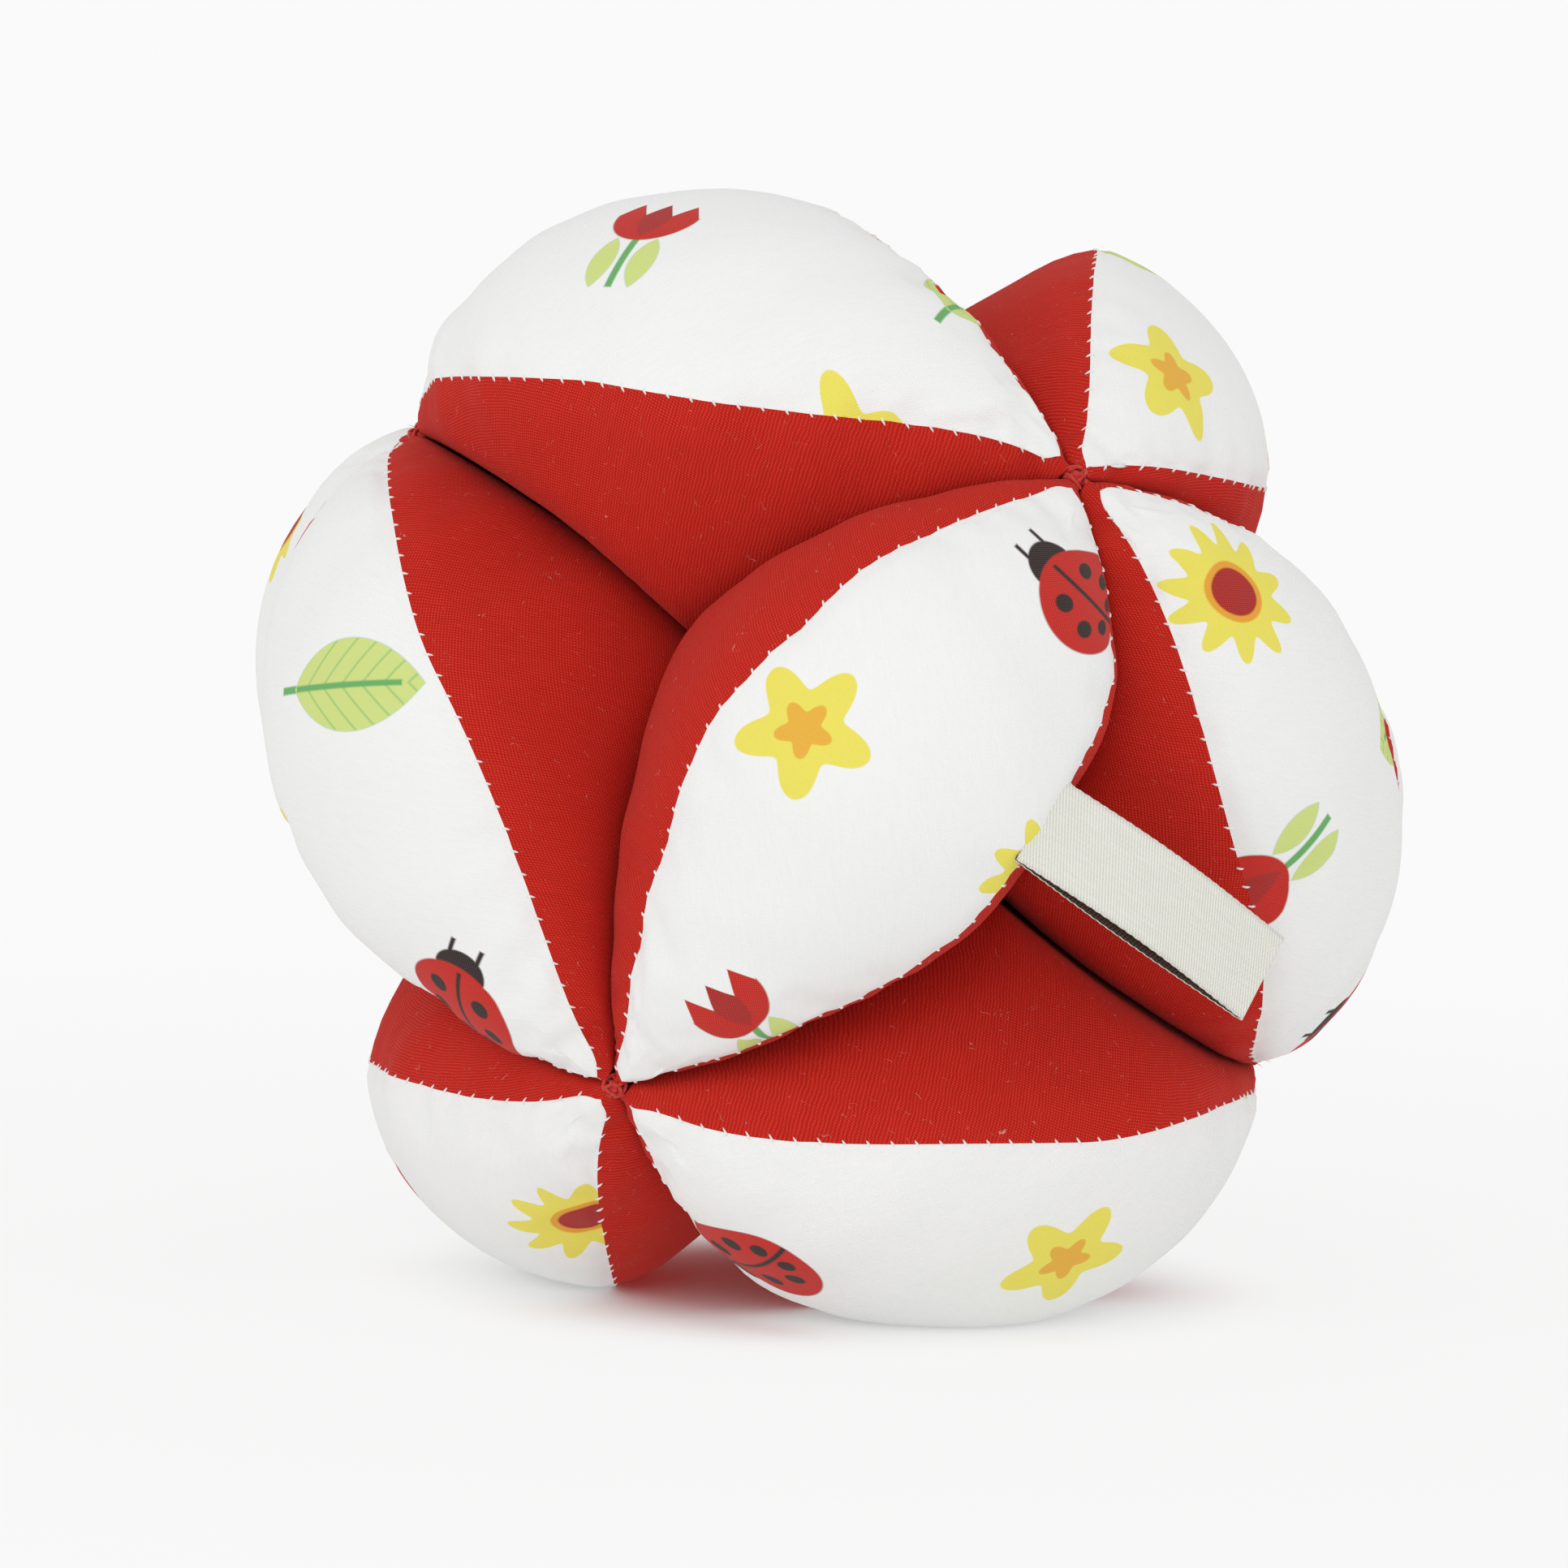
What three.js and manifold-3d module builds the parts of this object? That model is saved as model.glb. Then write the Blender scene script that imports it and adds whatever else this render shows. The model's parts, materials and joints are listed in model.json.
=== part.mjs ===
// A soft grasping ball: twelve stuffed pods, sewn together at their tips into three interlocking rings.
// Each pod has a printed outer panel, two red side panels and a fibre filling.
// Millimetres, +Z up, standing on a table. +X is to the right of the ball's front, +Y goes to its back.

import * as THREE from 'three';
import { mergeVertices } from 'three/addons/utils/BufferGeometryUtils.js';
import Module from 'manifold-3d';

const radians = THREE.MathUtils.degToRad;

// Ball
const tipRadius = 60; // ball centre to each of the six sewn tips
const crownRadius = 70.5; // ball centre to the crown of a pod's outer panel
const seamRadius = 62.5; // ball centre to the level of a pod's two seams, half way along the pod
const seamHalfWidth = 20.5; // pod's middle plane to a seam, half way along the pod
const foldRadius = 12.5; // ball centre to the inner fold, where the two side panels meet
const sideBulge = 3; // how far a side panel swells out past its seam
const foldBreadth = 14; // how far the inner fold stays blunt before a side panel turns outwards
const bulgeDrop = 21; // how far below its seam a side panel swells most

// Cloth, filling and knots
const clothThickness = 0.8;
const layerGap = 0.3; // between the cloth and the filling, and between two panels along a seam
const knotRadius = 2;
const knotGap = 0.4; // between a knot and the tips of its four pods

// Rolling: a pod turns about the line through its two tips, and stays in its own wedge of the ball
const rollRange = radians(6); // each way from rest
const podGap = 0.2; // from a pod to the side of its wedge, at the end of its roll
const flatDepth = 0.5; // flat pressed into the three pods that the ball stands on

// Ribbon tag, folded in half and sewn into the front pod's right-hand seam
const tagWidth = 9.7;
const tagLength = 31; // seam to fold
const tagThickness = 0.5; // one layer of ribbon
const tagOpening = 1.3; // between the two layers, half way along
const tagPlace = 9; // along the seam from the pod's middle, towards its upper tip
const tagDroop = radians(12); // below the pod's sideways direction
const tagSlant = radians(5); // out of square with its seam, towards the pod's lower tip
const tagRootGap = 0.5; // from the seam to the middle of the ribbon's end

// Facets
const stationCount = 10; // steps along a pod
const outerSteps = 6; // steps across an outer panel
const sideSteps = 3; // steps down a side panel
const tagSteps = 8; // steps along the ribbon

const wasm = await Module();
wasm.setup();

// The six tips: three above the middle and three below, 60 degrees apart around the upright axis.
const tipHeight = tipRadius / Math.sqrt(3);
const tipReach = tipRadius * Math.sqrt(2 / 3);

function tip(azimuth, level) {
  const angle = radians(azimuth);
  return new THREE.Vector3(tipReach * Math.cos(angle), tipReach * Math.sin(angle), level * tipHeight);
}

const tips = {
  upper_front: tip(300, 1),
  upper_back: tip(60, 1),
  upper_left: tip(180, 1),
  lower_right: tip(0, -1),
  lower_back: tip(120, -1),
  lower_front: tip(240, -1),
};

// Every pod joins two tips. Lean is how far it lies rolled over at rest, in degrees. Slack is how much lower
// its outer panel sits than on an evenly stuffed pod, in millimetres, and less than 0 on a fuller one.
const pods = [
  { name: 'front', from: 'upper_front', to: 'lower_front', lean: 8 },
  { name: 'front_left', from: 'lower_front', to: 'upper_left', lean: 0, slack: 1.5 },
  { name: 'front_right', from: 'upper_front', to: 'lower_right', lean: 0, slack: 2 },
  { name: 'back', from: 'upper_back', to: 'lower_back', lean: 0 },
  { name: 'back_left', from: 'upper_left', to: 'lower_back', lean: 0 },
  { name: 'back_right', from: 'upper_back', to: 'lower_right', lean: 0 },
  { name: 'top_front', from: 'upper_front', to: 'upper_left', lean: -7, slack: -1.5 },
  { name: 'top_right', from: 'upper_front', to: 'upper_back', lean: -12, slack: 4.5 },
  { name: 'top_back', from: 'upper_back', to: 'upper_left', lean: 0 },
  { name: 'base_front', from: 'lower_front', to: 'lower_right', lean: 0, stands: true },
  { name: 'base_back', from: 'lower_back', to: 'lower_right', lean: 0, stands: true },
  { name: 'base_left', from: 'lower_front', to: 'lower_back', lean: 0, stands: true },
];

const chordRadius = tipRadius / Math.SQRT2; // ball centre to the line through a pod's two tips
const podHalfLength = chordRadius - knotRadius - knotGap;

// Points of a pod's ring: it starts at the inner fold
const seamIndex = sideSteps; // seam on the pod's v side
const farSeamIndex = sideSteps + outerSteps; // its other seam
const ringSize = 2 * sideSteps + outerSteps;

// Materials
const printCotton = new THREE.MeshStandardMaterial({ color: 0xf4f3f0, roughness: 0.9, metalness: 0 });
const redCotton = new THREE.MeshStandardMaterial({ color: 0xb5150f, roughness: 0.92, metalness: 0 });
const fibre = new THREE.MeshStandardMaterial({ color: 0xfafaf7, roughness: 1, metalness: 0 });
const redThread = new THREE.MeshStandardMaterial({ color: 0xa8140f, roughness: 0.8, metalness: 0 });
const ribbon = new THREE.MeshStandardMaterial({ color: 0xe9e6d8, roughness: 0.75, metalness: 0 });

// Pod shape. A pod's own frame has x along its tips, u outwards from the line through them, v sideways.

// Height of a circular arc above its chord, at x from the chord's middle.
function arcHeight(x, halfChord, rise) {
  const radius = (halfChord ** 2 + rise ** 2) / (2 * rise);
  return Math.sqrt(Math.max(radius ** 2 - x ** 2, 0)) - (radius - rise);
}

// Half-width of the pod's wedge of the ball on one side (1 or -1), when the pod is rolled by an angle.
function wedgeHalfWidth(x, u, side, roll) {
  const sine = side * Math.sin(roll);
  const cosine = Math.cos(roll);
  const room = u * (cosine / Math.SQRT2 - sine) + (chordRadius - Math.abs(x)) / Math.SQRT2 - podGap;
  return room / (cosine + sine / Math.SQRT2);
}

// Keeps a half-width inside the wedge at rest and at both ends of the roll.
function fitWedge(x, u, halfWidth, side, lean) {
  const limits = [-rollRange, 0, rollRange].map((roll) => wedgeHalfWidth(x, u, side, lean + roll));
  return Math.min(halfWidth, ...limits);
}

// Height of the inner fold. A leaning pod's fold rises until it fits its wedge on both sides.
function foldHeight(x, lean) {
  const roll = Math.abs(lean) + rollRange;
  const room = (chordRadius - Math.abs(x)) / Math.SQRT2 - podGap;
  const lowest = -room / (Math.cos(roll) / Math.SQRT2 + Math.sin(roll));
  return Math.max(Math.hypot(foldRadius, x) - chordRadius, lowest);
}

// One cross-section of a pod, as a ring of points: inner fold, side panel, outer panel, side panel.
function podRing(x, lean, slack) {
  const seamU = arcHeight(x, chordRadius, seamRadius - slack - chordRadius);
  const seamV = arcHeight(x, chordRadius, seamHalfWidth);
  const crownU = arcHeight(x, chordRadius, crownRadius - slack - chordRadius);
  const foldU = foldHeight(x, lean);
  const taper = seamV / seamHalfWidth;
  const sideCurve = new THREE.CubicBezierCurve(
    new THREE.Vector2(foldU, 0),
    new THREE.Vector2(foldU, foldBreadth * taper),
    new THREE.Vector2(Math.max(seamU - bulgeDrop * taper, foldU), seamV + sideBulge * taper),
    new THREE.Vector2(seamU, seamV),
  );
  const sidePoints = sideCurve.getPoints(sideSteps);
  const sidePoint = (p, side) => new THREE.Vector3(x, p.x, side * fitWedge(x, p.x, p.y, side, lean));
  const ring = sidePoints.map((p) => sidePoint(p, 1));
  for (let k = 1; k < outerSteps; k++) {
    const v = seamV * (1 - (2 * k) / outerSteps);
    const side = v < 0 ? -1 : 1;
    const u = seamU + arcHeight(v, seamV, crownU - seamU);
    ring.push(new THREE.Vector3(x, u, side * fitWedge(x, u, Math.abs(v), side, lean)));
  }
  const wayBack = sidePoints.slice(1).reverse();
  return [...ring, ...wayBack.map((p) => sidePoint(p, -1))];
}

// A closed solid through rings of points, with flat ends.
// Where a ring is doubled, its second half runs back inside its first, with its facets split alike.
function loft(rings, doubled = false) {
  const count = rings[0].length;
  const lastRow = rings.length - 1;
  const points = rings.flat();
  const at = (row, k) => row * count + (k % count);
  const index = [];
  for (let k = 0; k < count; k++) {
    const runsBack = doubled && k >= count / 2;
    for (let row = 0; row < lastRow; row++) {
      const firstHalf = 2 * row < lastRow;
      const [a, b, c, d] = [at(row, k), at(row + 1, k), at(row + 1, k + 1), at(row, k + 1)];
      const facets = firstHalf === runsBack ? [a, b, c, a, c, d] : [a, b, d, d, b, c];
      index.push(...facets);
    }
  }
  for (let k = 0; doubled && k < count / 2 - 1; k++) {
    const [a, b, c, d] = [k, k + 1, count - 2 - k, count - 1 - k];
    index.push(at(0, a), at(0, b), at(0, c));
    index.push(at(0, a), at(0, c), at(0, d));
    index.push(at(lastRow, a), at(lastRow, c), at(lastRow, b));
    index.push(at(lastRow, a), at(lastRow, d), at(lastRow, c));
  }
  if (!doubled) {
    const first = points.push(centreOf(rings[0])) - 1;
    const last = points.push(centreOf(rings[lastRow])) - 1;
    for (let k = 0; k < count; k++) {
      index.push(first, at(0, k), at(0, k + 1));
      index.push(last, at(lastRow, k + 1), at(lastRow, k));
    }
  }
  const geometry = new THREE.BufferGeometry();
  geometry.setAttribute('position', new THREE.Float32BufferAttribute(points.flatMap((p) => p.toArray()), 3));
  geometry.setIndex(index);
  geometry.computeVertexNormals();
  return geometry;
}

function centreOf(points) {
  return points.reduce((sum, p) => sum.add(p), new THREE.Vector3()).divideScalar(points.length);
}

// A pod's skin: its rings of points, and the same rings drawn in by a depth along the skin's normals.
function podSkin(lean, slack = 0) {
  const rings = [];
  for (let step = 0; step <= stationCount; step++) {
    const turn = (2 * step) / stationCount - 1;
    rings.push(podRing(podHalfLength * Math.sin((turn * Math.PI) / 2), lean, slack));
  }
  const normals = loft(rings).getAttribute('normal');
  const normalAt = (row, k) => new THREE.Vector3().fromBufferAttribute(normals, row * ringSize + k);
  const inset = (depth) =>
    rings.map((ring, row) => ring.map((p, k) => p.clone().addScaledVector(normalAt(row, k), -depth)));
  return { rings, inset };
}

// Moves a point towards another by a distance.
function towards(point, other, distance) {
  const away = other.clone().sub(point);
  return point.clone().addScaledVector(away.normalize(), distance);
}

// One cloth panel: the part of the skin between two points of every ring, with its thickness.
function panelGeometry(skin, first, last) {
  const strip = (ring) => {
    const points = [];
    for (let k = first; k <= last; k++) points.push(ring[k % ringSize]);
    const end = points.length - 1;
    const start = towards(points[0], points[1], layerGap / 2);
    const finish = towards(points[end], points[end - 1], layerGap / 2);
    return [start, ...points.slice(1, end), finish];
  };
  const inner = skin.inset(clothThickness);
  return loft(skin.rings.map((ring, row) => [...strip(ring), ...strip(inner[row]).reverse()]), true);
}

// The filling: the skin drawn in by the cloth and its gap, without the narrow ends that the knots draw in.
function fillingGeometry(skin) {
  return loft(skin.inset(clothThickness + layerGap).slice(1, -1));
}

// Turns a pod's frame into the ball's: x from its second tip to its first, u outwards.
function podFrame(pod) {
  const from = tips[pod.from];
  const to = tips[pod.to];
  const x = from.clone().sub(to).normalize();
  const u = from.clone().add(to).normalize();
  const v = x.clone().cross(u);
  const frame = new THREE.Group();
  frame.quaternion.setFromRotationMatrix(new THREE.Matrix4().makeBasis(x, u, v));
  frame.position.copy(u).multiplyScalar(chordRadius);
  frame.rotateX(radians(pod.lean));
  frame.updateMatrix();
  return frame;
}

// Cutting with solids
function toManifold(geometry) {
  return new wasm.Manifold(
    new wasm.Mesh({
      numProp: 3,
      vertProperties: new Float32Array(geometry.getAttribute('position').array),
      triVerts: new Uint32Array(geometry.getIndex().array),
    }),
  );
}

function fromManifold(solid) {
  const { vertProperties, triVerts, numProp } = solid.getMesh();
  const geometry = new THREE.BufferGeometry();
  geometry.setAttribute('position', new THREE.BufferAttribute(new Float32Array(vertProperties), numProp));
  geometry.setIndex(new THREE.BufferAttribute(new Uint32Array(triVerts), 1));
  geometry.computeVertexNormals();
  return geometry;
}

// Everything below a level in the ball's frame, seen from a pod's frame.
function groundBlock(level, frame) {
  const size = 4 * tipRadius;
  const block = new THREE.BoxGeometry(size, size, size).translate(0, 0, level - size / 2);
  block.deleteAttribute('normal');
  block.deleteAttribute('uv');
  return mergeVertices(block).applyMatrix4(frame.matrix.clone().invert());
}

function cutFlat(geometry, level, frame) {
  return fromManifold(toManifold(geometry).subtract(toManifold(groundBlock(level, frame))));
}

// Assembly
const ball = new THREE.Group();

function addMesh(parent, name, geometry, material) {
  const mesh = new THREE.Mesh(geometry, material);
  mesh.name = name;
  parent.add(mesh);
}

// The lowest point of a pod's skin, in the ball's frame.
function lowestPoint(skin, frame) {
  const heights = skin.rings.flat().map((p) => p.clone().applyMatrix4(frame.matrix).z);
  return Math.min(...heights);
}

const built = pods.map((pod) => ({ pod, frame: podFrame(pod), skin: podSkin(radians(pod.lean), pod.slack) }));
const standing = built.filter(({ pod }) => pod.stands);
const groundLevel = flatDepth + Math.max(...standing.map(({ skin, frame }) => lowestPoint(skin, frame)));

for (const { pod, frame, skin } of built) {
  const panels = {
    outer_panel: [panelGeometry(skin, seamIndex, farSeamIndex), printCotton],
    near_side_panel: [panelGeometry(skin, 0, seamIndex), redCotton],
    far_side_panel: [panelGeometry(skin, farSeamIndex, ringSize), redCotton],
  };
  for (const [kind, [geometry, material]] of Object.entries(panels)) {
    const shape = pod.stands ? cutFlat(geometry, groundLevel, frame) : geometry;
    addMesh(frame, `${pod.name}_${kind}`, shape, material);
  }
  addMesh(frame, `${pod.name}_filling`, fillingGeometry(skin), fibre);
  ball.add(frame);
}

// Knots, one at each tip
for (const [name, place] of Object.entries(tips)) {
  const knot = new THREE.SphereGeometry(knotRadius, 8, 6).translate(place.x, place.y, place.z);
  addMesh(ball, `${name}_knot`, knot, redThread);
}

// Ribbon tag: an outline seen along the seam, t away from the seam and n across the layers
function tagGeometry() {
  const bow = (t) => (tagOpening / 2) * Math.sin((Math.PI * t) / tagLength);
  const outline = (from, to, thickness) => {
    const side = [];
    for (let k = 0; k <= tagSteps; k++) {
      const t = from + ((to - from) * k) / tagSteps;
      side.push(new THREE.Vector2(t, -bow(t) - thickness));
    }
    return [...side, ...side.map((p) => new THREE.Vector2(p.x, -p.y)).reverse()];
  };
  const hollowEnd = 2 * tagThickness;
  const shape = new THREE.Shape(outline(0, tagLength, tagThickness));
  shape.holes.push(new THREE.Path(outline(hollowEnd, tagLength - hollowEnd, 0)));
  const geometry = new THREE.ExtrudeGeometry(shape, { depth: tagWidth, bevelEnabled: false });
  return geometry.translate(0, 0, -tagWidth / 2);
}

// The seam's place and direction at x, on the straight edge between the two nearest rings.
function seamAt(skin, x) {
  const row = skin.rings.findIndex((ring) => ring[0].x > x);
  const before = skin.rings[row - 1][seamIndex];
  const after = skin.rings[row][seamIndex];
  const place = before.clone().lerp(after, (x - before.x) / (after.x - before.x));
  return { place, direction: after.clone().sub(before).normalize() };
}

const front = built.find(({ pod }) => pod.name === 'front');
const tagSeam = seamAt(front.skin, tagPlace);
const tagAcross = tagSeam.direction;
const tagAlong = new THREE.Vector3(0, -Math.sin(tagDroop), Math.cos(tagDroop));
tagAlong.projectOnPlane(tagAcross).normalize();
const tagNormal = tagAcross.clone().cross(tagAlong);
const tagMount = new THREE.Group();
tagMount.quaternion.setFromRotationMatrix(new THREE.Matrix4().makeBasis(tagAlong, tagNormal, tagAcross));
tagMount.rotateY(tagSlant);
tagMount.position.copy(tagSeam.place).addScaledVector(tagAlong, tagRootGap);
addMesh(tagMount, 'ribbon_tag', tagGeometry(), ribbon);
front.frame.add(tagMount);

// The origin is under the ball's middle, on the table.
ball.updateMatrixWorld(true);
const box = new THREE.Box3().setFromObject(ball, true);
const middle = box.getCenter(new THREE.Vector3());
ball.position.set(-middle.x, -middle.y, -groundLevel);

const part = new THREE.Group();
part.add(ball);

export default part;
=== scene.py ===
# A soft grasping ball: twelve stuffed cotton pods, sewn together at six tips, with a folded ribbon tag.
import json
from math import cos, pi, prod, radians, sin, sqrt

import bmesh
import bpy
import numpy as np
from mathutils import Matrix, Vector


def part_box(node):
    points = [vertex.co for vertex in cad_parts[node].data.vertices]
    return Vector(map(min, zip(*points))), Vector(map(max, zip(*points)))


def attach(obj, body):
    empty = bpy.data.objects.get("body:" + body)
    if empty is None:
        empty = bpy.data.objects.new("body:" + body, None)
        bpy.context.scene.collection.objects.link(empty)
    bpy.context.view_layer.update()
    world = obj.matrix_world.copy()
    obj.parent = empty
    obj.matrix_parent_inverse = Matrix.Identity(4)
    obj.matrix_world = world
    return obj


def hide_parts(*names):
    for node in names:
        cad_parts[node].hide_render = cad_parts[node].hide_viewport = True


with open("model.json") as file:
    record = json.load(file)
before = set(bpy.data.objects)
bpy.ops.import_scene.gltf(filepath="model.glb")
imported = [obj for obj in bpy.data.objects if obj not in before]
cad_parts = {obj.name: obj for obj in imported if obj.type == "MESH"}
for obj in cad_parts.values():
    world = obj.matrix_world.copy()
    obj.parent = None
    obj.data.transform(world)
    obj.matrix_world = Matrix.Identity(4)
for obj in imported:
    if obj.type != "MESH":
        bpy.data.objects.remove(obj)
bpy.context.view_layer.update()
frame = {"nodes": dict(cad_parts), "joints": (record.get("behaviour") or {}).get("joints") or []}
scene = bpy.context.scene
print("frame loaded:", len(frame["nodes"]), "nodes")

# The ball's own points come from the frame, in millimetres.
tipNames = ["upper_front", "upper_back", "upper_left", "lower_right", "lower_back", "lower_front"]


def boxCentre(node):
    low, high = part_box(node)
    return np.array((low + high) * 500)  # half the sum of the corners, from metres


tips = {tip: boxCentre(tip + "_knot") for tip in tipNames}
ballCentre = np.mean(list(tips.values()), axis=0)
tipRadius = float(np.mean([np.linalg.norm(p - ballCentre) for p in tips.values()]))
chordHalf = tipRadius / sqrt(2)  # half the line from tip to tip, and its distance from the centre


def norms(v):
    return np.linalg.norm(v, axis=-1, keepdims=True)


def unit(v):
    return v / norms(v)


# Angles of a full turn in equal steps.
def turnSteps(count):
    return np.linspace(0, 2 * pi, count, endpoint=False)


# Points of a unit circle in the plane of two directions.
def circle(count, a, b):
    angle = turnSteps(count)[:, None]
    return np.cos(angle) * a[..., None, :] + np.sin(angle) * b[..., None, :]


# Two directions turned by an angle, the first towards the second.
def swung(a, b, angle):
    cosine, sine = cos(angle), sin(angle)
    return a * cosine + b * sine, b * cosine - a * sine


# Distance along a line of points, from its first point.
def runAlong(line):
    return np.concatenate([[0], np.cumsum(np.linalg.norm(np.diff(line, axis=0), axis=-1))])


# Distance from each point of a closed row to the next one.
def gapsRound(ring):
    return np.linalg.norm(np.diff(ring, axis=1, append=ring[:, :1]), axis=-1)


# Meshes

mm = 0.001  # in metres
poleWeld = 0.0005 * mm  # closes poles, where a whole row of a grid is one point


# Point numbers of a grid, with its first column again after the last one where it closes.
def gridIndex(shape, closed=True):
    index = np.arange(prod(shape)).reshape(shape)
    return np.concatenate([index, index[..., :1]], axis=-1) if closed else index


# Quads between the neighbours of a grid of point numbers, whose rows and columns are the last two axes.
def gridQuads(index):
    corners = [index[..., :-1, :-1], index[..., 1:, :-1], index[..., 1:, 1:], index[..., :-1, 1:]]
    return np.stack(corners, -1).reshape(-1, 4)


def newMesh(name, points, faces, scale=mm):
    mesh = bpy.data.meshes.new(name)
    mesh.from_pydata((points.reshape(-1, 3) * scale).tolist(), [], faces)
    return mesh


# Surface through a grid of points, rows by columns, one quad between four neighbours.
# The uv grid gives each point its place on the cloth, in units of 100 mm.
def gridMesh(name, points, uv=None, wrapRows=False, wrapColumns=False):
    index = gridIndex(points.shape[:2], wrapColumns)
    if wrapRows:
        index = np.vstack([index, index[:1]])
    quads = gridQuads(index)
    mesh = newMesh(name, points, quads.tolist())
    if uv is not None:
        layer = mesh.uv_layers.new(name="cloth")
        layer.data.foreach_set("uv", uv.reshape(-1, 2)[quads.ravel()].astype(np.float32).ravel())
    return mesh


def addObject(name, data):
    thing = bpy.data.objects.new(name, data)
    scene.collection.objects.link(thing)
    return thing


def makePiece(name, mesh, materials, body, poles=False):
    if poles:
        edit = bmesh.new()
        edit.from_mesh(mesh)
        bmesh.ops.remove_doubles(edit, verts=edit.verts, dist=poleWeld)
        edit.to_mesh(mesh)
        edit.free()
    mesh.shade_smooth()
    piece = addObject(name, mesh)
    for material in materials:
        mesh.materials.append(material)
    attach(piece, body)
    return piece


# Shader building blocks. A node goes into the tree of the values that it takes in.


# Node group: an input without a value is a place on the cloth, and the output Colour is a colour.
def newGroup(name, inputs, outputs):
    group = bpy.data.node_groups.new(name, "ShaderNodeTree")
    for key, value in inputs.items():
        kind = "NodeSocketVector" if value is None else "NodeSocketFloat"
        socket = group.interface.new_socket(key, in_out="INPUT", socket_type=kind)
        if value is not None:
            socket.default_value = value
    for key in outputs:
        kind = "NodeSocketColor" if key == "Colour" else "NodeSocketFloat"
        group.interface.new_socket(key, in_out="OUTPUT", socket_type=kind)
    entry = group.nodes.new("NodeGroupInput")
    leave = group.nodes.new("NodeGroupOutput")
    return group, entry.outputs, leave


def isSocket(value):
    return isinstance(value, bpy.types.NodeSocket)


def setInputs(node, values):
    for key, value in values.items():
        if isSocket(value):
            node.id_data.links.new(value, node.inputs[key])
        elif value is not None:
            node.inputs[key].default_value = value


def addNode(kind, values, **settings):
    tree = next(value.id_data for value in values.values() if isSocket(value))
    node = tree.nodes.new("ShaderNode" + kind)
    for key, value in settings.items():
        setattr(node, key, value)
    setInputs(node, values)
    return node


def calc(operation, a, b=None, c=None):
    return addNode("Math", {0: a, 1: b, 2: c}, operation=operation).outputs[0]


def times(a, b):
    return calc("MULTIPLY", a, b)


def minus(a, b):
    return calc("SUBTRACT", a, b)


def vectorCalc(operation, a, b=None, scale=None):
    node = addNode("VectorMath", {0: a, 1: b, "Scale": scale}, operation=operation)
    return node.outputs["Value" if operation in ("LENGTH", "DISTANCE") else "Vector"]


def split(vector):
    return addNode("SeparateXYZ", {0: vector}).outputs


def combine(x, y):
    return addNode("CombineXYZ", {0: x, 1: y}).outputs[0]


def ramp(value, low, high, toLow=0.0, toHigh=1.0):
    values = {0: value, 1: low, 2: high, 3: toLow, 4: toHigh}
    return addNode("MapRange", values, interpolation_type="SMOOTHSTEP").outputs[0]


def mixColour(factor, a, b):
    return addNode("Mix", {0: factor, 6: a, 7: b}, data_type="RGBA").outputs[2]


def noise(vector, scale, detail=2.0, rough=0.5, distortion=0.0, output="Fac"):
    values = {"Vector": vector, "Scale": scale, "Detail": detail, "Roughness": rough}
    return addNode("TexNoise", {**values, "Distortion": distortion}).outputs[output]


def rotate(vector, angle):
    return addNode("VectorRotate", {"Vector": vector, "Angle": angle}, rotation_type="Z_AXIS").outputs[0]


def addGroup(group, **values):
    return addNode("Group", values, node_tree=group).outputs


def addBump(shader, height, strength, distance):
    node = addNode("Bump", {"Strength": strength, "Distance": distance, "Height": height})
    setInputs(shader, {"Normal": node.outputs[0]})


def mixShaders(factor, first, second, output):
    mix = addNode("MixShader", {0: factor, 1: first.outputs[0], 2: second.outputs[0]})
    setInputs(output, {"Surface": mix.outputs[0]})


def newMaterial(name):
    material = bpy.data.materials.new(name)
    material.use_nodes = True
    return material, material.node_tree.nodes["Principled BSDF"]


def objectPlace(shader):
    return shader.id_data.nodes.new("ShaderNodeTexCoord").outputs["Object"]


def clothPlace(shader):
    node = shader.id_data.nodes.new("ShaderNodeUVMap")
    node.uv_map = "cloth"
    return vectorCalc("SCALE", node.outputs[0], scale=100.0)


def colour(red, green, blue):
    return (red, green, blue, 1.0)


# Cloth effects, shared by the materials. Lengths are in millimetres on the cloth.

# Plain weave: two sets of threads, each a row of rounded ridges, over and under by turns.
weaveLook = {
    "wander": (0.35, 0.5),  # waves for a millimetre, and mm that the threads stray
    "slub": (3.0, 0.25),  # how fast the threads' thickness changes, across and along them
}


def makeWeave():
    inputs = {"Place": None, "Pitch": 0.3, "Turn": 0.0}
    group, entry, leave = newGroup("plainWeave", inputs, ["Height", "Slub"])
    turned = rotate(entry["Place"], entry["Turn"])
    scale, stray = weaveLook["wander"]
    wander = vectorCalc("SCALE", noise(turned, scale, output="Color"), scale=stray)
    x, y, _ = split(vectorCalc("ADD", turned, wander))
    step = calc("DIVIDE", pi, entry["Pitch"])
    waveX, waveY = (calc("SINE", times(way, step)) for way in (x, y))
    over = calc("MULTIPLY_ADD", times(waveX, waveY), 0.5, 0.5)
    lift = times(times(waveX, waveX), over)
    other = times(times(waveY, waveY), minus(1.0, over))
    across, along = weaveLook["slub"]
    slub = noise(combine(times(x, across), times(y, along)), 1.0, 3.0, 0.6)
    setInputs(leave, {"Height": calc("MAXIMUM", lift, other), "Slub": slub})
    return group


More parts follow.
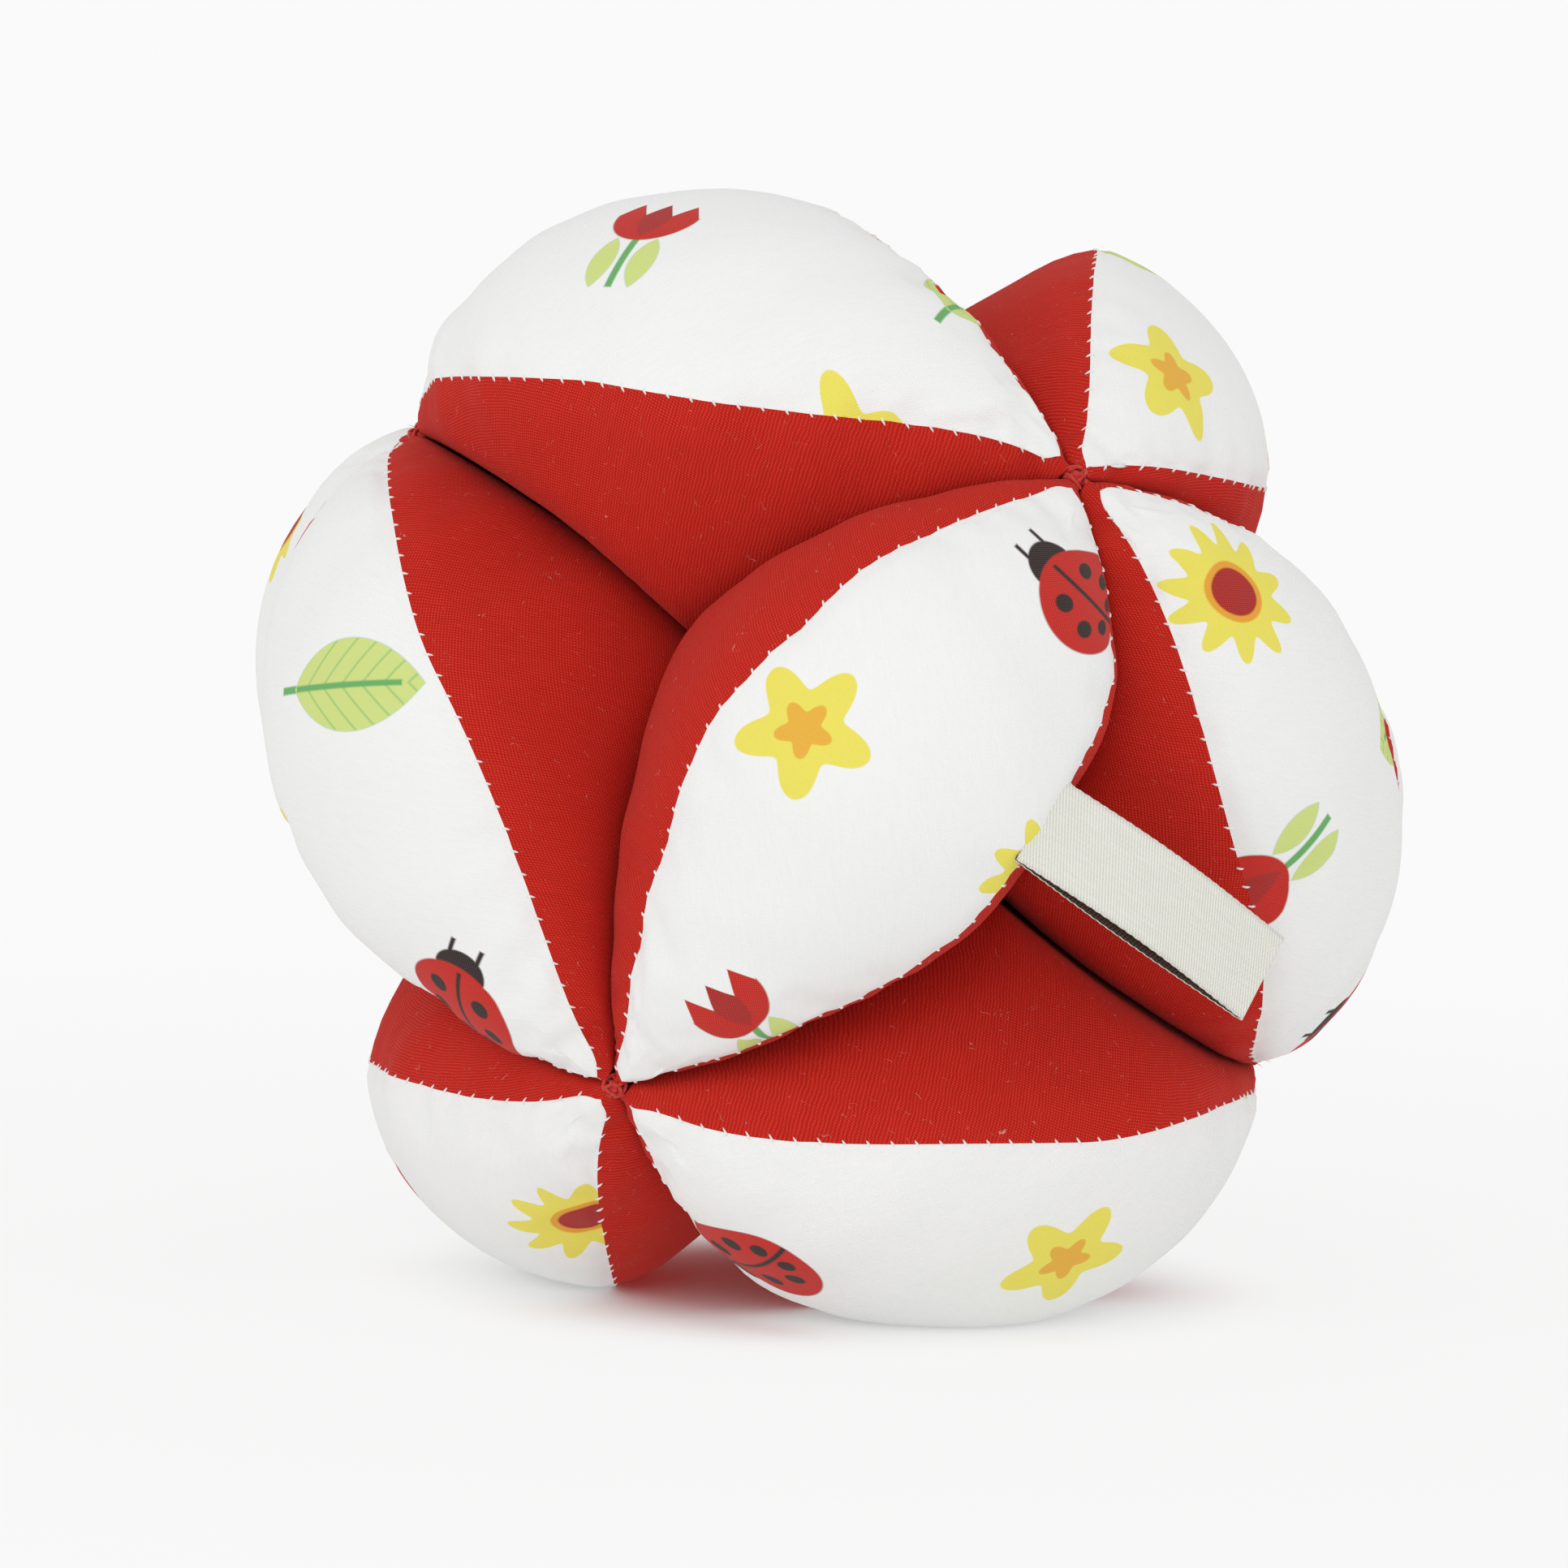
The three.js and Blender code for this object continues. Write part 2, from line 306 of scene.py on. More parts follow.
# Lint: short pale fibres, the stretched middles of a cell pattern, in a random share of its cells.
lintLook = {
    "bend": (0.6, 3.0),  # waves for a millimetre, and mm that the fibres bend
    "cells": (2.0, 0.2),  # for a millimetre, across and along a fibre
    "edge": (0.07, 0.02),  # outer and inner side of a fibre's soft edge, in cells
    "sets": ((0.5, 0.0), (2.0, 31.0)),  # turn and offset of two sets that lie across each other
}


def makeLint():
    group, entry, leave = newGroup("lintFibres", {"Place": None, "Amount": 0.5}, ["Fibre"])
    scale, far = lintLook["bend"]
    bend = vectorCalc("SCALE", noise(entry["Place"], scale, 1.0, output="Color"), scale=far)
    bent = vectorCalc("ADD", entry["Place"], bend)
    across, along = lintLook["cells"]
    parts = []
    for turn, offset in lintLook["sets"]:
        x, y, _ = split(rotate(bent, turn))
        place = combine(calc("ADD", times(x, across), offset), times(y, along))
        cells = addNode("TexVoronoi", {"Vector": place, "Scale": 1.0}, voronoi_dimensions="2D")
        thin = ramp(cells.outputs["Distance"], *lintLook["edge"])
        chance = addNode("SeparateColor", {0: cells.outputs["Color"]}).outputs[0]
        kept = calc("LESS_THAN", chance, entry["Amount"])
        parts.append(times(thin, kept))
    setInputs(leave, {"Fibre": calc("MAXIMUM", parts[0], parts[1])})
    return group


weaveGroup = makeWeave()
lintGroup = makeLint()

# Garden print: one motif in each cell of a half-drop grid, jogged and turned by a hash of the cell.
printLook = {
    "cell": 33.0,  # mm
    "size": 1.15,  # of a motif, against its drawing
    "jog": 5.0,
    "turn": 1.3,  # radians, end to end
    "edge": 0.14,  # mm of softness at a motif's edge
    "red": colour(0.55, 0.016, 0.008),
    "darkRed": colour(0.40, 0.018, 0.014),
    "yellow": colour(0.83, 0.74, 0.11),
    "orange": colour(0.80, 0.36, 0.03),
    "lime": colour(0.62, 0.72, 0.23),
    "green": colour(0.14, 0.42, 0.13),
    "dark": colour(0.030, 0.016, 0.014),
}


def inside(distance):
    return ramp(distance, printLook["edge"], -printLook["edge"])


def disc(place, x, y, radius):
    gap = vectorCalc("DISTANCE", place, (x, y, 0.0))
    return inside(minus(gap, radius))


def mirrored(place):
    x, y, _ = split(place)
    return combine(calc("ABSOLUTE", x), y)


# Leaf: the overlap of two discs set apart sideways.
def lens(place, x, y, apart, radius):
    moved = mirrored(vectorCalc("SUBTRACT", place, (x, y, 0.0)))
    gap = vectorCalc("DISTANCE", moved, (-apart, 0.0, 0.0))
    return inside(minus(gap, radius))


def bar(place, x, y, halfWidth, halfLength):
    moved = mirrored(vectorCalc("SUBTRACT", place, (x, y, 0.0)))
    px, py, _ = split(moved)
    away = minus(calc("ABSOLUTE", py), halfLength)
    return inside(calc("MAXIMUM", minus(px, halfWidth), away))


# Rosette: a disc whose radius waves with the angle.
def rosette(place, radius, depth, petals):
    x, y, _ = split(place)
    angle = calc("ARCTAN2", y, x)
    wave = calc("COSINE", times(angle, float(petals)))
    limit = calc("MULTIPLY_ADD", wave, depth, radius)
    return inside(minus(vectorCalc("LENGTH", place), limit))


def motifGroup(name, draw):
    group, entry, leave = newGroup(name, {"Place": None}, ["Colour", "Ink"])
    layers = draw(entry["Place"])  # bottom layer first, each a mask and the name of its colour
    ink, first = layers[0]
    paint = printLook[first]
    for mask, over in layers[1:]:
        paint = mixColour(mask, paint, printLook[over])
        ink = calc("MAXIMUM", ink, mask)
    setInputs(leave, {"Colour": paint, "Ink": ink})
    return group


def drawBeetle(place):
    halves = mirrored(place)
    spots = 0.0
    for x, y, radius in ((2.7, 1.7, 1.05), (3.4, -1.9, 1.0), (1.5, -4.2, 0.9)):
        spots = calc("MAXIMUM", spots, disc(halves, x, y, radius))
    body = disc(place, 0.0, -0.6, 6.3)
    line = times(bar(place, 0.0, -1.0, 0.26, 6.0), body)
    feelers = bar(halves, 1.5, 7.7, 0.25, 1.3)
    return [
        (disc(place, 0.0, 4.9, 2.9), "dark"),
        (feelers, "dark"),
        (body, "red"),
        (line, "dark"),
        (spots, "dark"),
    ]


def drawSunflower(place):
    return [
        (rosette(place, 6.3, 1.3, 11), "yellow"),
        (disc(place, 0.0, 0.0, 3.3), "orange"),
        (disc(place, 0.0, 0.0, 2.6), "darkRed"),
    ]


def drawLeaf(place):
    leaf = lens(place, 0.0, 1.0, 6.0, 10.6)
    x, y, _ = split(mirrored(place))
    slope = minus(y, x)
    fold = calc("PINGPONG", slope, 1.35)
    veins = times(inside(minus(fold, 0.18)), leaf)
    return [
        (bar(place, 0.0, -8.0, 0.38, 2.6), "green"),
        (leaf, "lime"),
        (times(veins, 0.45), "green"),
        (times(bar(place, 0.0, 0.0, 0.3, 7.4), leaf), "green"),
    ]


def drawTulip(place):
    halves = mirrored(place)
    x, y, _ = split(halves)
    cup = disc(place, 0.0, 2.8, 4.6)
    teeth = calc("MULTIPLY_ADD", calc("PINGPONG", calc("ADD", x, 1.5), 1.5), 1.7, 3.0)
    cup = times(cup, inside(minus(y, teeth)))
    return [
        (bar(place, 0.0, -4.6, 0.42, 3.8), "green"),
        (lens(halves, 2.3, -4.9, 3.6, 5.0), "lime"),
        (cup, "red"),
        (times(lens(place, 0.0, 2.6, 3.4, 5.0), cup), "darkRed"),
    ]


def drawStar(place):
    return [
        (rosette(place, 5.4, 1.5, 5), "yellow"),
        (times(rosette(place, 2.3, 0.6, 5), 0.8), "orange"),
    ]


def makeGardenPrint():
    drawings = {
        "printBeetle": drawBeetle,
        "printLeaf": drawLeaf,
        "printSunflower": drawSunflower,
        "printTulip": drawTulip,
        "printStar": drawStar,
    }
    group, entry, leave = newGroup("gardenPrint", {"Place": None}, ["Colour", "Ink"])
    cell = printLook["cell"]
    x, y, _ = split(entry["Place"])
    column = calc("FLOOR", calc("DIVIDE", x, cell))
    half = times(calc("FLOORED_MODULO", column, 2.0), 0.5 * cell)
    dropped = calc("ADD", y, half)
    row = calc("FLOOR", calc("DIVIDE", dropped, cell))
    localX = minus(x, calc("MULTIPLY_ADD", column, cell, 0.5 * cell))
    localY = minus(dropped, calc("MULTIPLY_ADD", row, cell, 0.5 * cell))
    cellNumber = combine(column, row)
    chance = addNode("TexWhiteNoise", {"Vector": cellNumber}, noise_dimensions="2D").outputs
    jog = vectorCalc("SUBTRACT", chance["Color"], (0.5, 0.5, 0.5))
    jogged = vectorCalc("SCALE", jog, scale=printLook["jog"])
    moved = vectorCalc("ADD", combine(localX, localY), jogged)
    flat = 1 / printLook["size"]
    scaled = vectorCalc("MULTIPLY", moved, (flat, flat, 0.0))
    angle = minus(chance["Value"], 0.5)
    turned = rotate(scaled, times(angle, printLook["turn"]))
    kind = calc("FLOORED_MODULO", calc("MULTIPLY_ADD", row, 2.0, column), float(len(drawings)))
    paint, ink = colour(1, 1, 1), 0.0
    for k, (name, draw) in enumerate(drawings.items()):
        motif = addGroup(motifGroup(name, draw), Place=turned)
        chosen = calc("COMPARE", kind, float(k), 0.5)
        paint = mixColour(chosen, paint, motif["Colour"])
        ink = calc("MULTIPLY_ADD", motif["Ink"], chosen, ink)
    setInputs(leave, {"Colour": paint, "Ink": ink})
    return group


gardenPrint = makeGardenPrint()

# Materials

cottonLook = {
    "whitePitch": 0.26,  # mm from thread to thread
    "redPitch": 0.34,
    "white": colour(0.88, 0.885, 0.875),
    "whiteShade": colour(0.84, 0.848, 0.838),
    "red": colour(0.56, 0.018, 0.010),
    "redDeep": colour(0.47, 0.012, 0.007),
    # Painted light among these: redShade is painted shade for the gaps between the red threads, and the
    # colour after it is a painted sheen for their tops.
    "redShade": colour(0.34, 0.006, 0.004),
    "redPaintedSheen": colour(0.72, 0.075, 0.048),
    "lint": colour(0.80, 0.42, 0.38),
    "ribbon": colour(0.87, 0.868, 0.81),
    # ribbonShade and liningShade are painted shade for the ribs' grooves, and also the darker end of the
    # threads' random slub tone.
    "ribbonShade": colour(0.70, 0.69, 0.61),
    "lining": colour(0.085, 0.045, 0.022),
    "liningShade": colour(0.03, 0.016, 0.009),
    "whiteThread": (colour(0.80, 0.80, 0.79), colour(0.90, 0.90, 0.89)),  # body and pale fuzz
    "redThread": (colour(0.46, 0.014, 0.010), colour(0.66, 0.05, 0.035)),
    "fibre": colour(0.80, 0.80, 0.78),
    "fibrePale": colour(0.90, 0.90, 0.88),
}


def makePrintCotton():
    material, shader = newMaterial("printCotton")
    place = clothPlace(shader)
    weave = addGroup(weaveGroup, Place=place, Pitch=cottonLook["whitePitch"], Turn=0.78)
    printed = addGroup(gardenPrint, Place=place)
    slub = ramp(weave["Slub"], 0.35, 0.75, 0.0, 0.5)
    ground = mixColour(slub, cottonLook["white"], cottonLook["whiteShade"])
    bare = ramp(weave["Height"], 0.05, 0.5, 0.06, 0.0)  # cloth that shows between the inked threads
    ink = times(printed["Ink"], minus(1.0, bare))
    setInputs(shader, {
        "Base Color": mixColour(ink, ground, printed["Colour"]),
        "Roughness": ramp(weave["Height"], 0.0, 1.0, 0.98, 0.86),
        "Sheen Weight": 0.08,
        "Sheen Roughness": 0.5,
        "Specular IOR Level": 0.12,
    })
    addBump(shader, weave["Height"], strength=0.35, distance=0.00008)
    return material


def makeRedCotton():
    material, shader = newMaterial("redCotton")
    place = clothPlace(shader)
    weave = addGroup(weaveGroup, Place=place, Pitch=cottonLook["redPitch"], Turn=0.35)
    lint = addGroup(lintGroup, Place=place, Amount=0.16)
    # Over the base red: the slub's deeper tone and the lint are the cloth's own; the next two are painted
    # shade between the threads and a painted sheen on top of them.
    layers = {
        "redDeep": ramp(weave["Slub"], 0.3, 0.7, 0.0, 0.7),
        "redShade": ramp(weave["Height"], 0.0, 0.4, 0.45, 0.0),  # between the threads
        "redPaintedSheen": ramp(weave["Height"], 0.5, 0.95, 0.0, 0.75),  # on top of them
        "lint": times(lint["Fibre"], 0.55),
    }
    base = cottonLook["red"]
    for shade, share in layers.items():
        base = mixColour(share, base, cottonLook[shade])
    setInputs(shader, {
        "Base Color": base,
        "Roughness": ramp(weave["Height"], 0.0, 1.0, 0.97, 0.82),
        "Sheen Weight": 0.10,
        "Sheen Roughness": 0.4,
        "Sheen Tint": colour(1.0, 0.45, 0.40),
        "Specular IOR Level": 0.12,
    })
    addBump(shader, calc("ADD", weave["Height"], lint["Fibre"]), strength=0.6, distance=0.0001)
    return material


def makeThread(name, rough, shine):
    material, shader = newMaterial(name)
    body, pale = cottonLook[name]
    fuzz = noise(objectPlace(shader), 2600.0, 3.0, 0.6)
    setInputs(shader, {
        "Base Color": mixColour(ramp(fuzz, 0.35, 0.7), body, pale),
        "Roughness": rough,
        "Sheen Weight": 0.15,
        "Specular IOR Level": shine,
    })
    addBump(shader, fuzz, strength=0.5, distance=0.0001)
    return material


def makeFibre():
    material, shader = newMaterial("fibreFilling")
    tufts = noise(objectPlace(shader), 320.0, 6.0, 0.7, 1.5)
    base = mixColour(tufts, cottonLook["fibre"], cottonLook["fibrePale"])
    setInputs(shader, {"Base Color": base, "Roughness": 1.0})
    addBump(shader, tufts, strength=0.8, distance=0.0006)
    return material


# Ribbon: fine ribs that slant across it, with painted shade in the grooves between them and a slower
# random wander in their tone.
def makeRibbon(name, body, shade, ribPitch):
    material, shader = newMaterial(name)
    place = clothPlace(shader)
    x, y, _ = split(place)
    weave = addGroup(weaveGroup, Place=place, Pitch=ribPitch, Turn=0.0)
    slant = calc("MULTIPLY_ADD", x, 0.5, y)
    rib = calc("SINE", times(slant, 2 * pi / (ribPitch * 1.7)))
    tone = calc("MULTIPLY_ADD", rib, 0.5, 0.5)
    # The shade colour goes into the rib grooves as painted shade, mixed with the slub's random tone.
    base = mixColour(ramp(calc("ADD", tone, weave["Slub"]), 0.5, 1.5), shade, body)
    values = {"Base Color": base, "Roughness": 0.7, "Sheen Weight": 0.1, "Specular IOR Level": 0.3}
    setInputs(shader, values)
    addBump(shader, calc("ADD", tone, weave["Height"]), strength=0.5, distance=0.0001)
    return material


printCotton = makePrintCotton()
redCotton = makeRedCotton()
whiteThread = makeThread("whiteThread", rough=0.85, shine=0.12)
redThread = makeThread("redThread", rough=0.55, shine=0.25)
fibreFilling = makeFibre()
ivoryRibbon = makeRibbon("ivoryRibbon", cottonLook["ribbon"], cottonLook["ribbonShade"], ribPitch=0.24)
brownLining = makeRibbon("brownLining", cottonLook["lining"], cottonLook["liningShade"], ribPitch=0.3)
print("cottons, threads and ribbon mixed")

# Pods. Lengths are in millimetres; crown, shoulder and fold are distances from the ball's centre.
podLook = {
    "rows": 97,
    "sideSteps": 30,
    "outerSteps": 44,
    "crown": 70.5,
    "shoulder": 62.5,
    "bodyHalf": 20.5,
    "lensGap": 1.4,  # from the tip to the end of the lens-shaped outer panel
    "tipRound": 1.2,  # half-width that the panel keeps at its ends
    "tipReach": 4.0,
    "domeRise": 0.42,  # of the outer panel's section, against its half-width
    "domeEnd": 1.15,  # how far the section's arc is followed, in half-widths
    "fold": 12.5,
    "breadth": 23.0,
    "drop": 21.0,  # from the shoulder to where a side is widest
    "gap": 0.12,  # from a pod to the side of its wedge
    "strip": 0.9,  # red between the seam and the side of the wedge, near the tips
    "seamRound": 1.0,  # softness of the seam's turn where the wedge holds it in
    "round": 3.4,  # softness of a pod's edge where it meets its neighbour
    "leastRound": 0.05,
    "floorRound": 0.8,
    "pushBlend": 30.0,  # along the pod, from one end's push to the other's
    "end": 0.5,  # from the knot's middle to the pod's sewn point
    "stitch": 2.7,
    "skew": 0.0,
    "blunt": 0.0,
    "stuffing": 0.94,  # size of the stuffing against the skin
    "fill": 0.9,
}
# Each side may have its own half-width of the outer panel, its fullness towards the pod's first and second
# tip, its bulge, and a push, which moves its border with the next pod over, near the first and second tip.
sideLook = {"half": 20.2, "full": (2.0, 2.0), "bulge": 3.0, "push": (0.0, 0.0)}
# Most numbers in this table came out of a scratch program that fitted the pods to the photo's red,
# white and background areas. They aren't designed sizes, and they don't follow from the frame.
pods = {
    "front": {
        "ends": ("upper_front", "lower_front"), "print": (27, 40), "lean": 4.25, "crown": 70.8,
        "shoulder": 63.7, "bodyHalf": 18.25, "lensGap": 1.2, "strip": 0.5, "skew": -7.0, "blunt": -0.1,
        "near": {"half": 17.6, "full": (4.55, 1.77), "bulge": 3.25, "push": (2.5, 0.0)},
        "far": {"half": 18.7, "full": (2.6, 1.57), "bulge": 11.0},
    },
    "front_left": {
        "ends": ("lower_front", "upper_left"), "print": (131, 86), "lean": 4.95, "crown": 68.61,
        "shoulder": 61.1, "bodyHalf": 20.41, "lensGap": 1.3, "strip": 1.19, "skew": 5.52, "drop": 20.33,
        "near": {"half": 18.06, "full": (3.09, 2.4), "bulge": 3.36, "push": (0.0, 0.6)},
        "far": {"half": 21.0, "full": (1.94, 2.92), "bulge": 3.71, "push": (0.0, 6.5)},
    },
    "front_right": {
        "ends": ("upper_front", "lower_right"), "print": (329, 15), "lean": 0.75, "crown": 67.15,
        "shoulder": 59.25, "bodyHalf": 18.7, "lensGap": 1.6, "skew": 2.25, "blunt": 0.15,
        "near": {"half": 18.4, "full": (2.8, 2.4), "bulge": 2.0, "push": (0.0, -1.0)},
        "far": {"half": 17.9, "full": (2.0, 4.2), "bulge": 5.0, "push": (-2.5, 2.7)},
    },
    "back": {
        "ends": ("upper_back", "lower_back"), "print": (390, 110), "lean": 2.0, "skew": 1.5,
        "near": {"push": (-0.7, 0.7)},
        "far": {"push": (-0.7, 0.7)},
    },
    "back_left": {
        "ends": ("upper_left", "lower_back"), "print": (528, 80), "lean": 3.0, "crown": 70.9,
        "shoulder": 62.8, "bodyHalf": 21.55, "lensGap": 1.2, "strip": 0.6, "skew": -2.0, "blunt": 0.15,
        "near": {"half": 22.0, "full": (3.0, 1.5), "push": (-0.6, 0.8)},
        "far": {"half": 22.7, "full": (4.05, 2.0), "push": (-0.8, -0.7)},
    },
    "back_right": {
        "ends": ("upper_back", "lower_right"), "print": (655, 133), "lean": 3.5, "crown": 69.6,
        "shoulder": 60.9, "skew": 7.5,
        "near": {"half": 20.8, "push": (0.7, 0.9)},
        "far": {"half": 17.7, "full": (1.6, 2.6), "bulge": 4.0, "push": (-0.9, 1.0)},
    },
    "top_front": {
        "ends": ("upper_front", "upper_left"), "print": (890, 21), "lean": -8.84, "crown": 71.9,
        "shoulder": 62.56, "bodyHalf": 21.39, "strip": 0.45, "skew": 3.57, "drop": 17.8,
        "near": {"half": 21.0, "full": (2.0, 2.49), "bulge": 1.16, "push": (0.0, -6.5)},
        "far": {"half": 20.21, "full": (1.47, 2.51), "bulge": 2.0, "push": (0.0, -0.8)},
    },
    "top_right": {
        "ends": ("upper_front", "upper_back"), "print": (1028, 99), "lean": -15.3, "crown": 64.9,
        "shoulder": 55.4, "bodyHalf": 21.6, "lensGap": 1.2, "strip": 0.81, "skew": -1.65, "drop": 20.25,
        "near": {"half": 16.0, "full": (2.8, 1.2), "bulge": 0.37, "push": (0.0, 0.8)},
        "far": {"half": 17.7, "full": (2.11, 1.78), "bulge": 9.96, "push": (0.0, 0.9)},
    },
    "top_back": {
        "ends": ("upper_back", "upper_left"), "print": (990, 48), "lean": 1.03, "crown": 71.03,
        "shoulder": 61.3, "bodyHalf": 19.92, "strip": 1.17, "skew": 0.92, "drop": 23.5,
        "near": {"half": 19.5, "full": (1.2, 3.16), "bulge": 0.96, "push": (-0.8, 0.8)},
        "far": {"half": 21.32, "full": (2.34, 2.0), "bulge": 1.5, "push": (0.7, 0.8)},
    },
    "base_front": {
        "ends": ("lower_front", "lower_right"), "print": (1122, 72), "lean": 1.25, "crown": 71.9,
        "shoulder": 63.2, "bodyHalf": 21.77, "lensGap": 1.2, "strip": 1.35, "skew": 1.25,
        "near": {"half": 21.4, "full": (2.0, 2.8), "bulge": 2.6, "push": (0.0, -2.9)},
        "far": {"half": 23.4, "full": (2.42, 2.0), "bulge": 2.0, "push": (0.0, -0.9)},
    },
    "base_back": {
        "ends": ("lower_back", "lower_right"), "print": (1254, 9), "lean": 0.0, "skew": 1.0,
        "near": {"push": (-0.8, 0.9)},
        "far": {"push": (-0.7, -0.9)},
    },
    "base_left": {
        "ends": ("lower_front", "lower_back"), "print": (1447, 128), "lean": -8.0, "crown": 71.2,
        "shoulder": 62.9, "bodyHalf": 20.93, "lensGap": 1.2, "strip": 0.45, "skew": 2.0,
        "near": {"half": 20.4, "bulge": 5.0, "push": (0.0, 0.8)},
        "far": {"half": 18.8, "full": (2.0, 3.0), "bulge": 6.0, "push": (0.0, -0.8)},
    },
}


# Height of a circular arc over its chord, at x from the chord's middle.
def arcHeight(x, half, rise):
    radius = (half ** 2 + rise ** 2) / (2 * rise)
    return np.sqrt(np.maximum(radius ** 2 - x ** 2, 0)) - (radius - rise)


# Rise of the outer panel's round section, 1 in the middle and 0 at the shoulder.
def dome(across):
    end, rise = podLook["domeEnd"], podLook["domeRise"]
    return arcHeight(np.clip(across, -end, end), 1.0, rise) / rise


# Cubic Bezier curve of four control values, at t from 0 to 1.
def bezier(t, a, b, c, d):
    s = 1 - t
    return s ** 3 * a + 3 * s ** 2 * t * b + 3 * s * t ** 2 * c + t ** 3 * d


# Smaller of two values, rounded over where they are within a reach of each other.
def softMin(a, b, reach):
    blend = np.clip(0.5 + 0.5 * (b - a) / reach, 0, 1)
    return b + (a - b) * blend - reach * blend * (1 - blend)


# Half-width of a pod's wedge of the ball, at height u over the tip line, on one side, at a lean.
def wedgeHalf(x, u, side, lean, gap):
    sine = side * sin(lean)
    cosine = cos(lean)
    room = u * (cosine / sqrt(2) - sine) + (chordHalf - np.abs(x)) / sqrt(2) - gap
    return room / (cosine + sine / sqrt(2))


# Waves with random directions, added up: a smooth bumpy field over two lengths on the cloth.
def lumps(along, across, seed, wavelength, spread=(0.7, 1.5), count=10):
    random = np.random.default_rng(seed)
    field = np.zeros(np.broadcast(along, across).shape)
    for k in range(count):
        angle = random.uniform(0, 2 * pi)
        length = wavelength * random.uniform(*spread)
        phase = random.uniform(0, 2 * pi)
        way = along * cos(angle) + across * sin(angle)
        field += np.sin(way * 2 * pi / length + phase)
    return field / sqrt(count)


def podAxes(ends):
    start, finish = (tips[end] - ballCentre for end in ends)
    along = unit(start - finish)
    out = unit(start + finish)
    return along, out, np.cross(along, out)


def podSides(pod):
    return [(1, {**sideLook, **pod.get("near", {})}), (-1, {**sideLook, **pod.get("far", {})})]


# How far a side's border is moved over, at x along the pod: from one end's value to the other's, and
# nothing at the tips.
def pushAt(x, ends):
    toFirst = np.clip(x / podLook["pushBlend"] + 0.5, 0, 1)
    push = ends[1] + (ends[0] - ends[1]) * toFirst ** 2 * (3 - 2 * toFirst)
    return push * (1 - (x / chordHalf) ** 2)


# A pod's shape on a grid: rows from tip to tip, columns from the inner fold round and back to it.
# Each row is a side curve, cubic from fold to seam, an arc over the outer panel, and the other side.
# Skew slides the fullest section towards one tip, and blunt keeps the section full nearer to both.
def podShape(pod):
    look = {**podLook, **pod}
    lean = radians(look["lean"])
    m, k = look["sideSteps"], look["outerSteps"]
    half = chordHalf - look["end"]
    turn = np.linspace(-1, 1, look["rows"])[:, None]
    x = half * np.sin(turn * pi / 2)
    slid = x + look["skew"] * (1 - (x / chordHalf) ** 2)
    slid = np.sign(slid) * chordHalf * np.abs(slid / chordHalf) ** (1 + look["blunt"])
    shoulderU = arcHeight(slid, chordHalf, look["shoulder"] - chordHalf)
    bodyV = arcHeight(slid, chordHalf, look["bodyHalf"])
    crownU = arcHeight(slid, chordHalf, look["crown"] - chordHalf)
    taper = bodyV / look["bodyHalf"]
    ending = np.minimum(np.abs(x / (chordHalf - look["lensGap"])), 1.0)
    tipRun = np.maximum(chordHalf - look["lensGap"] - np.abs(x), 0)
    rounded = look["tipRound"] * np.sqrt(np.minimum(tipRun, 1)) * np.exp(-tipRun / look["tipReach"])
    deepest = -((chordHalf - np.abs(x)) / sqrt(2) - look["gap"])
    deepest = deepest / (cos(lean) / sqrt(2) + abs(sin(lean)))
    foldU = np.maximum(np.hypot(look["fold"], x) - chordHalf, deepest)

    def outerHeight(v):
        return shoulderU + dome(v / bodyV) * (crownU - shoulderU)

    lowU = np.maximum(shoulderU - look["drop"] * taper, foldU)
    t = np.linspace(0, 1, m + 1)[None, :]
    sides = {}
    for side, own in podSides(pod):
        wideV = bodyV + own["bulge"] * taper
        lensV = own["half"] * (1 - ending ** np.where(x > 0, *own["full"])) + rounded
        room = wedgeHalf(x, shoulderU, side, lean, look["gap"]) + pushAt(x, own["push"]) - look["strip"]
        edge = np.where(lensV > 0, np.maximum(softMin(lensV, room, look["seamRound"]), 0), 0)
        sideU = bezier(t, foldU, foldU, lowU, outerHeight(edge))
        sideV = bezier(t, 0, look["breadth"] * taper, wideV, edge)
        sides[side] = (sideU, sideV, edge)
    s = np.linspace(-1, 1, k + 1)[None, 1:-1]
    outerV = np.where(s < 0, -s * sides[1][2], -s * sides[-1][2])
    u = np.hstack([sides[1][0], outerHeight(outerV), sides[-1][0][:, :0:-1]])
    v = np.hstack([sides[1][1], outerV, -sides[-1][1][:, :0:-1]])
    return np.stack([x + 0 * u, u, v], -1), taper, ending < 1


# Cloth simulation: each pod's skin as one closed cloth, a little too large for its seams, is blown up from
# inside while its seams and fold are held, so it swells between them and puckers along them.
simLook = {
    "frames": 20,
    "cap": 0.9,  # mm; a longer move is cut down towards this
    "scale": 10.0,  # the simulation runs this many times larger
    "apart": 0.06,  # mm; rows by the tips whose points lie closer are left out
}
clothLook = {
    "quality": 5,
    "mass": 0.3,
    "tension_stiffness": 15.0,
    "compression_stiffness": 15.0,
    "shear_stiffness": 5.0,
    "bending_stiffness": 0.3,
    "air_damping": 3.0,
    "use_pressure": True,
    "uniform_pressure_force": 4.0,
    "shrink_min": -0.015,  # less than nothing: the cloth is larger than its grid
    "vertex_group_mass": "held",
}


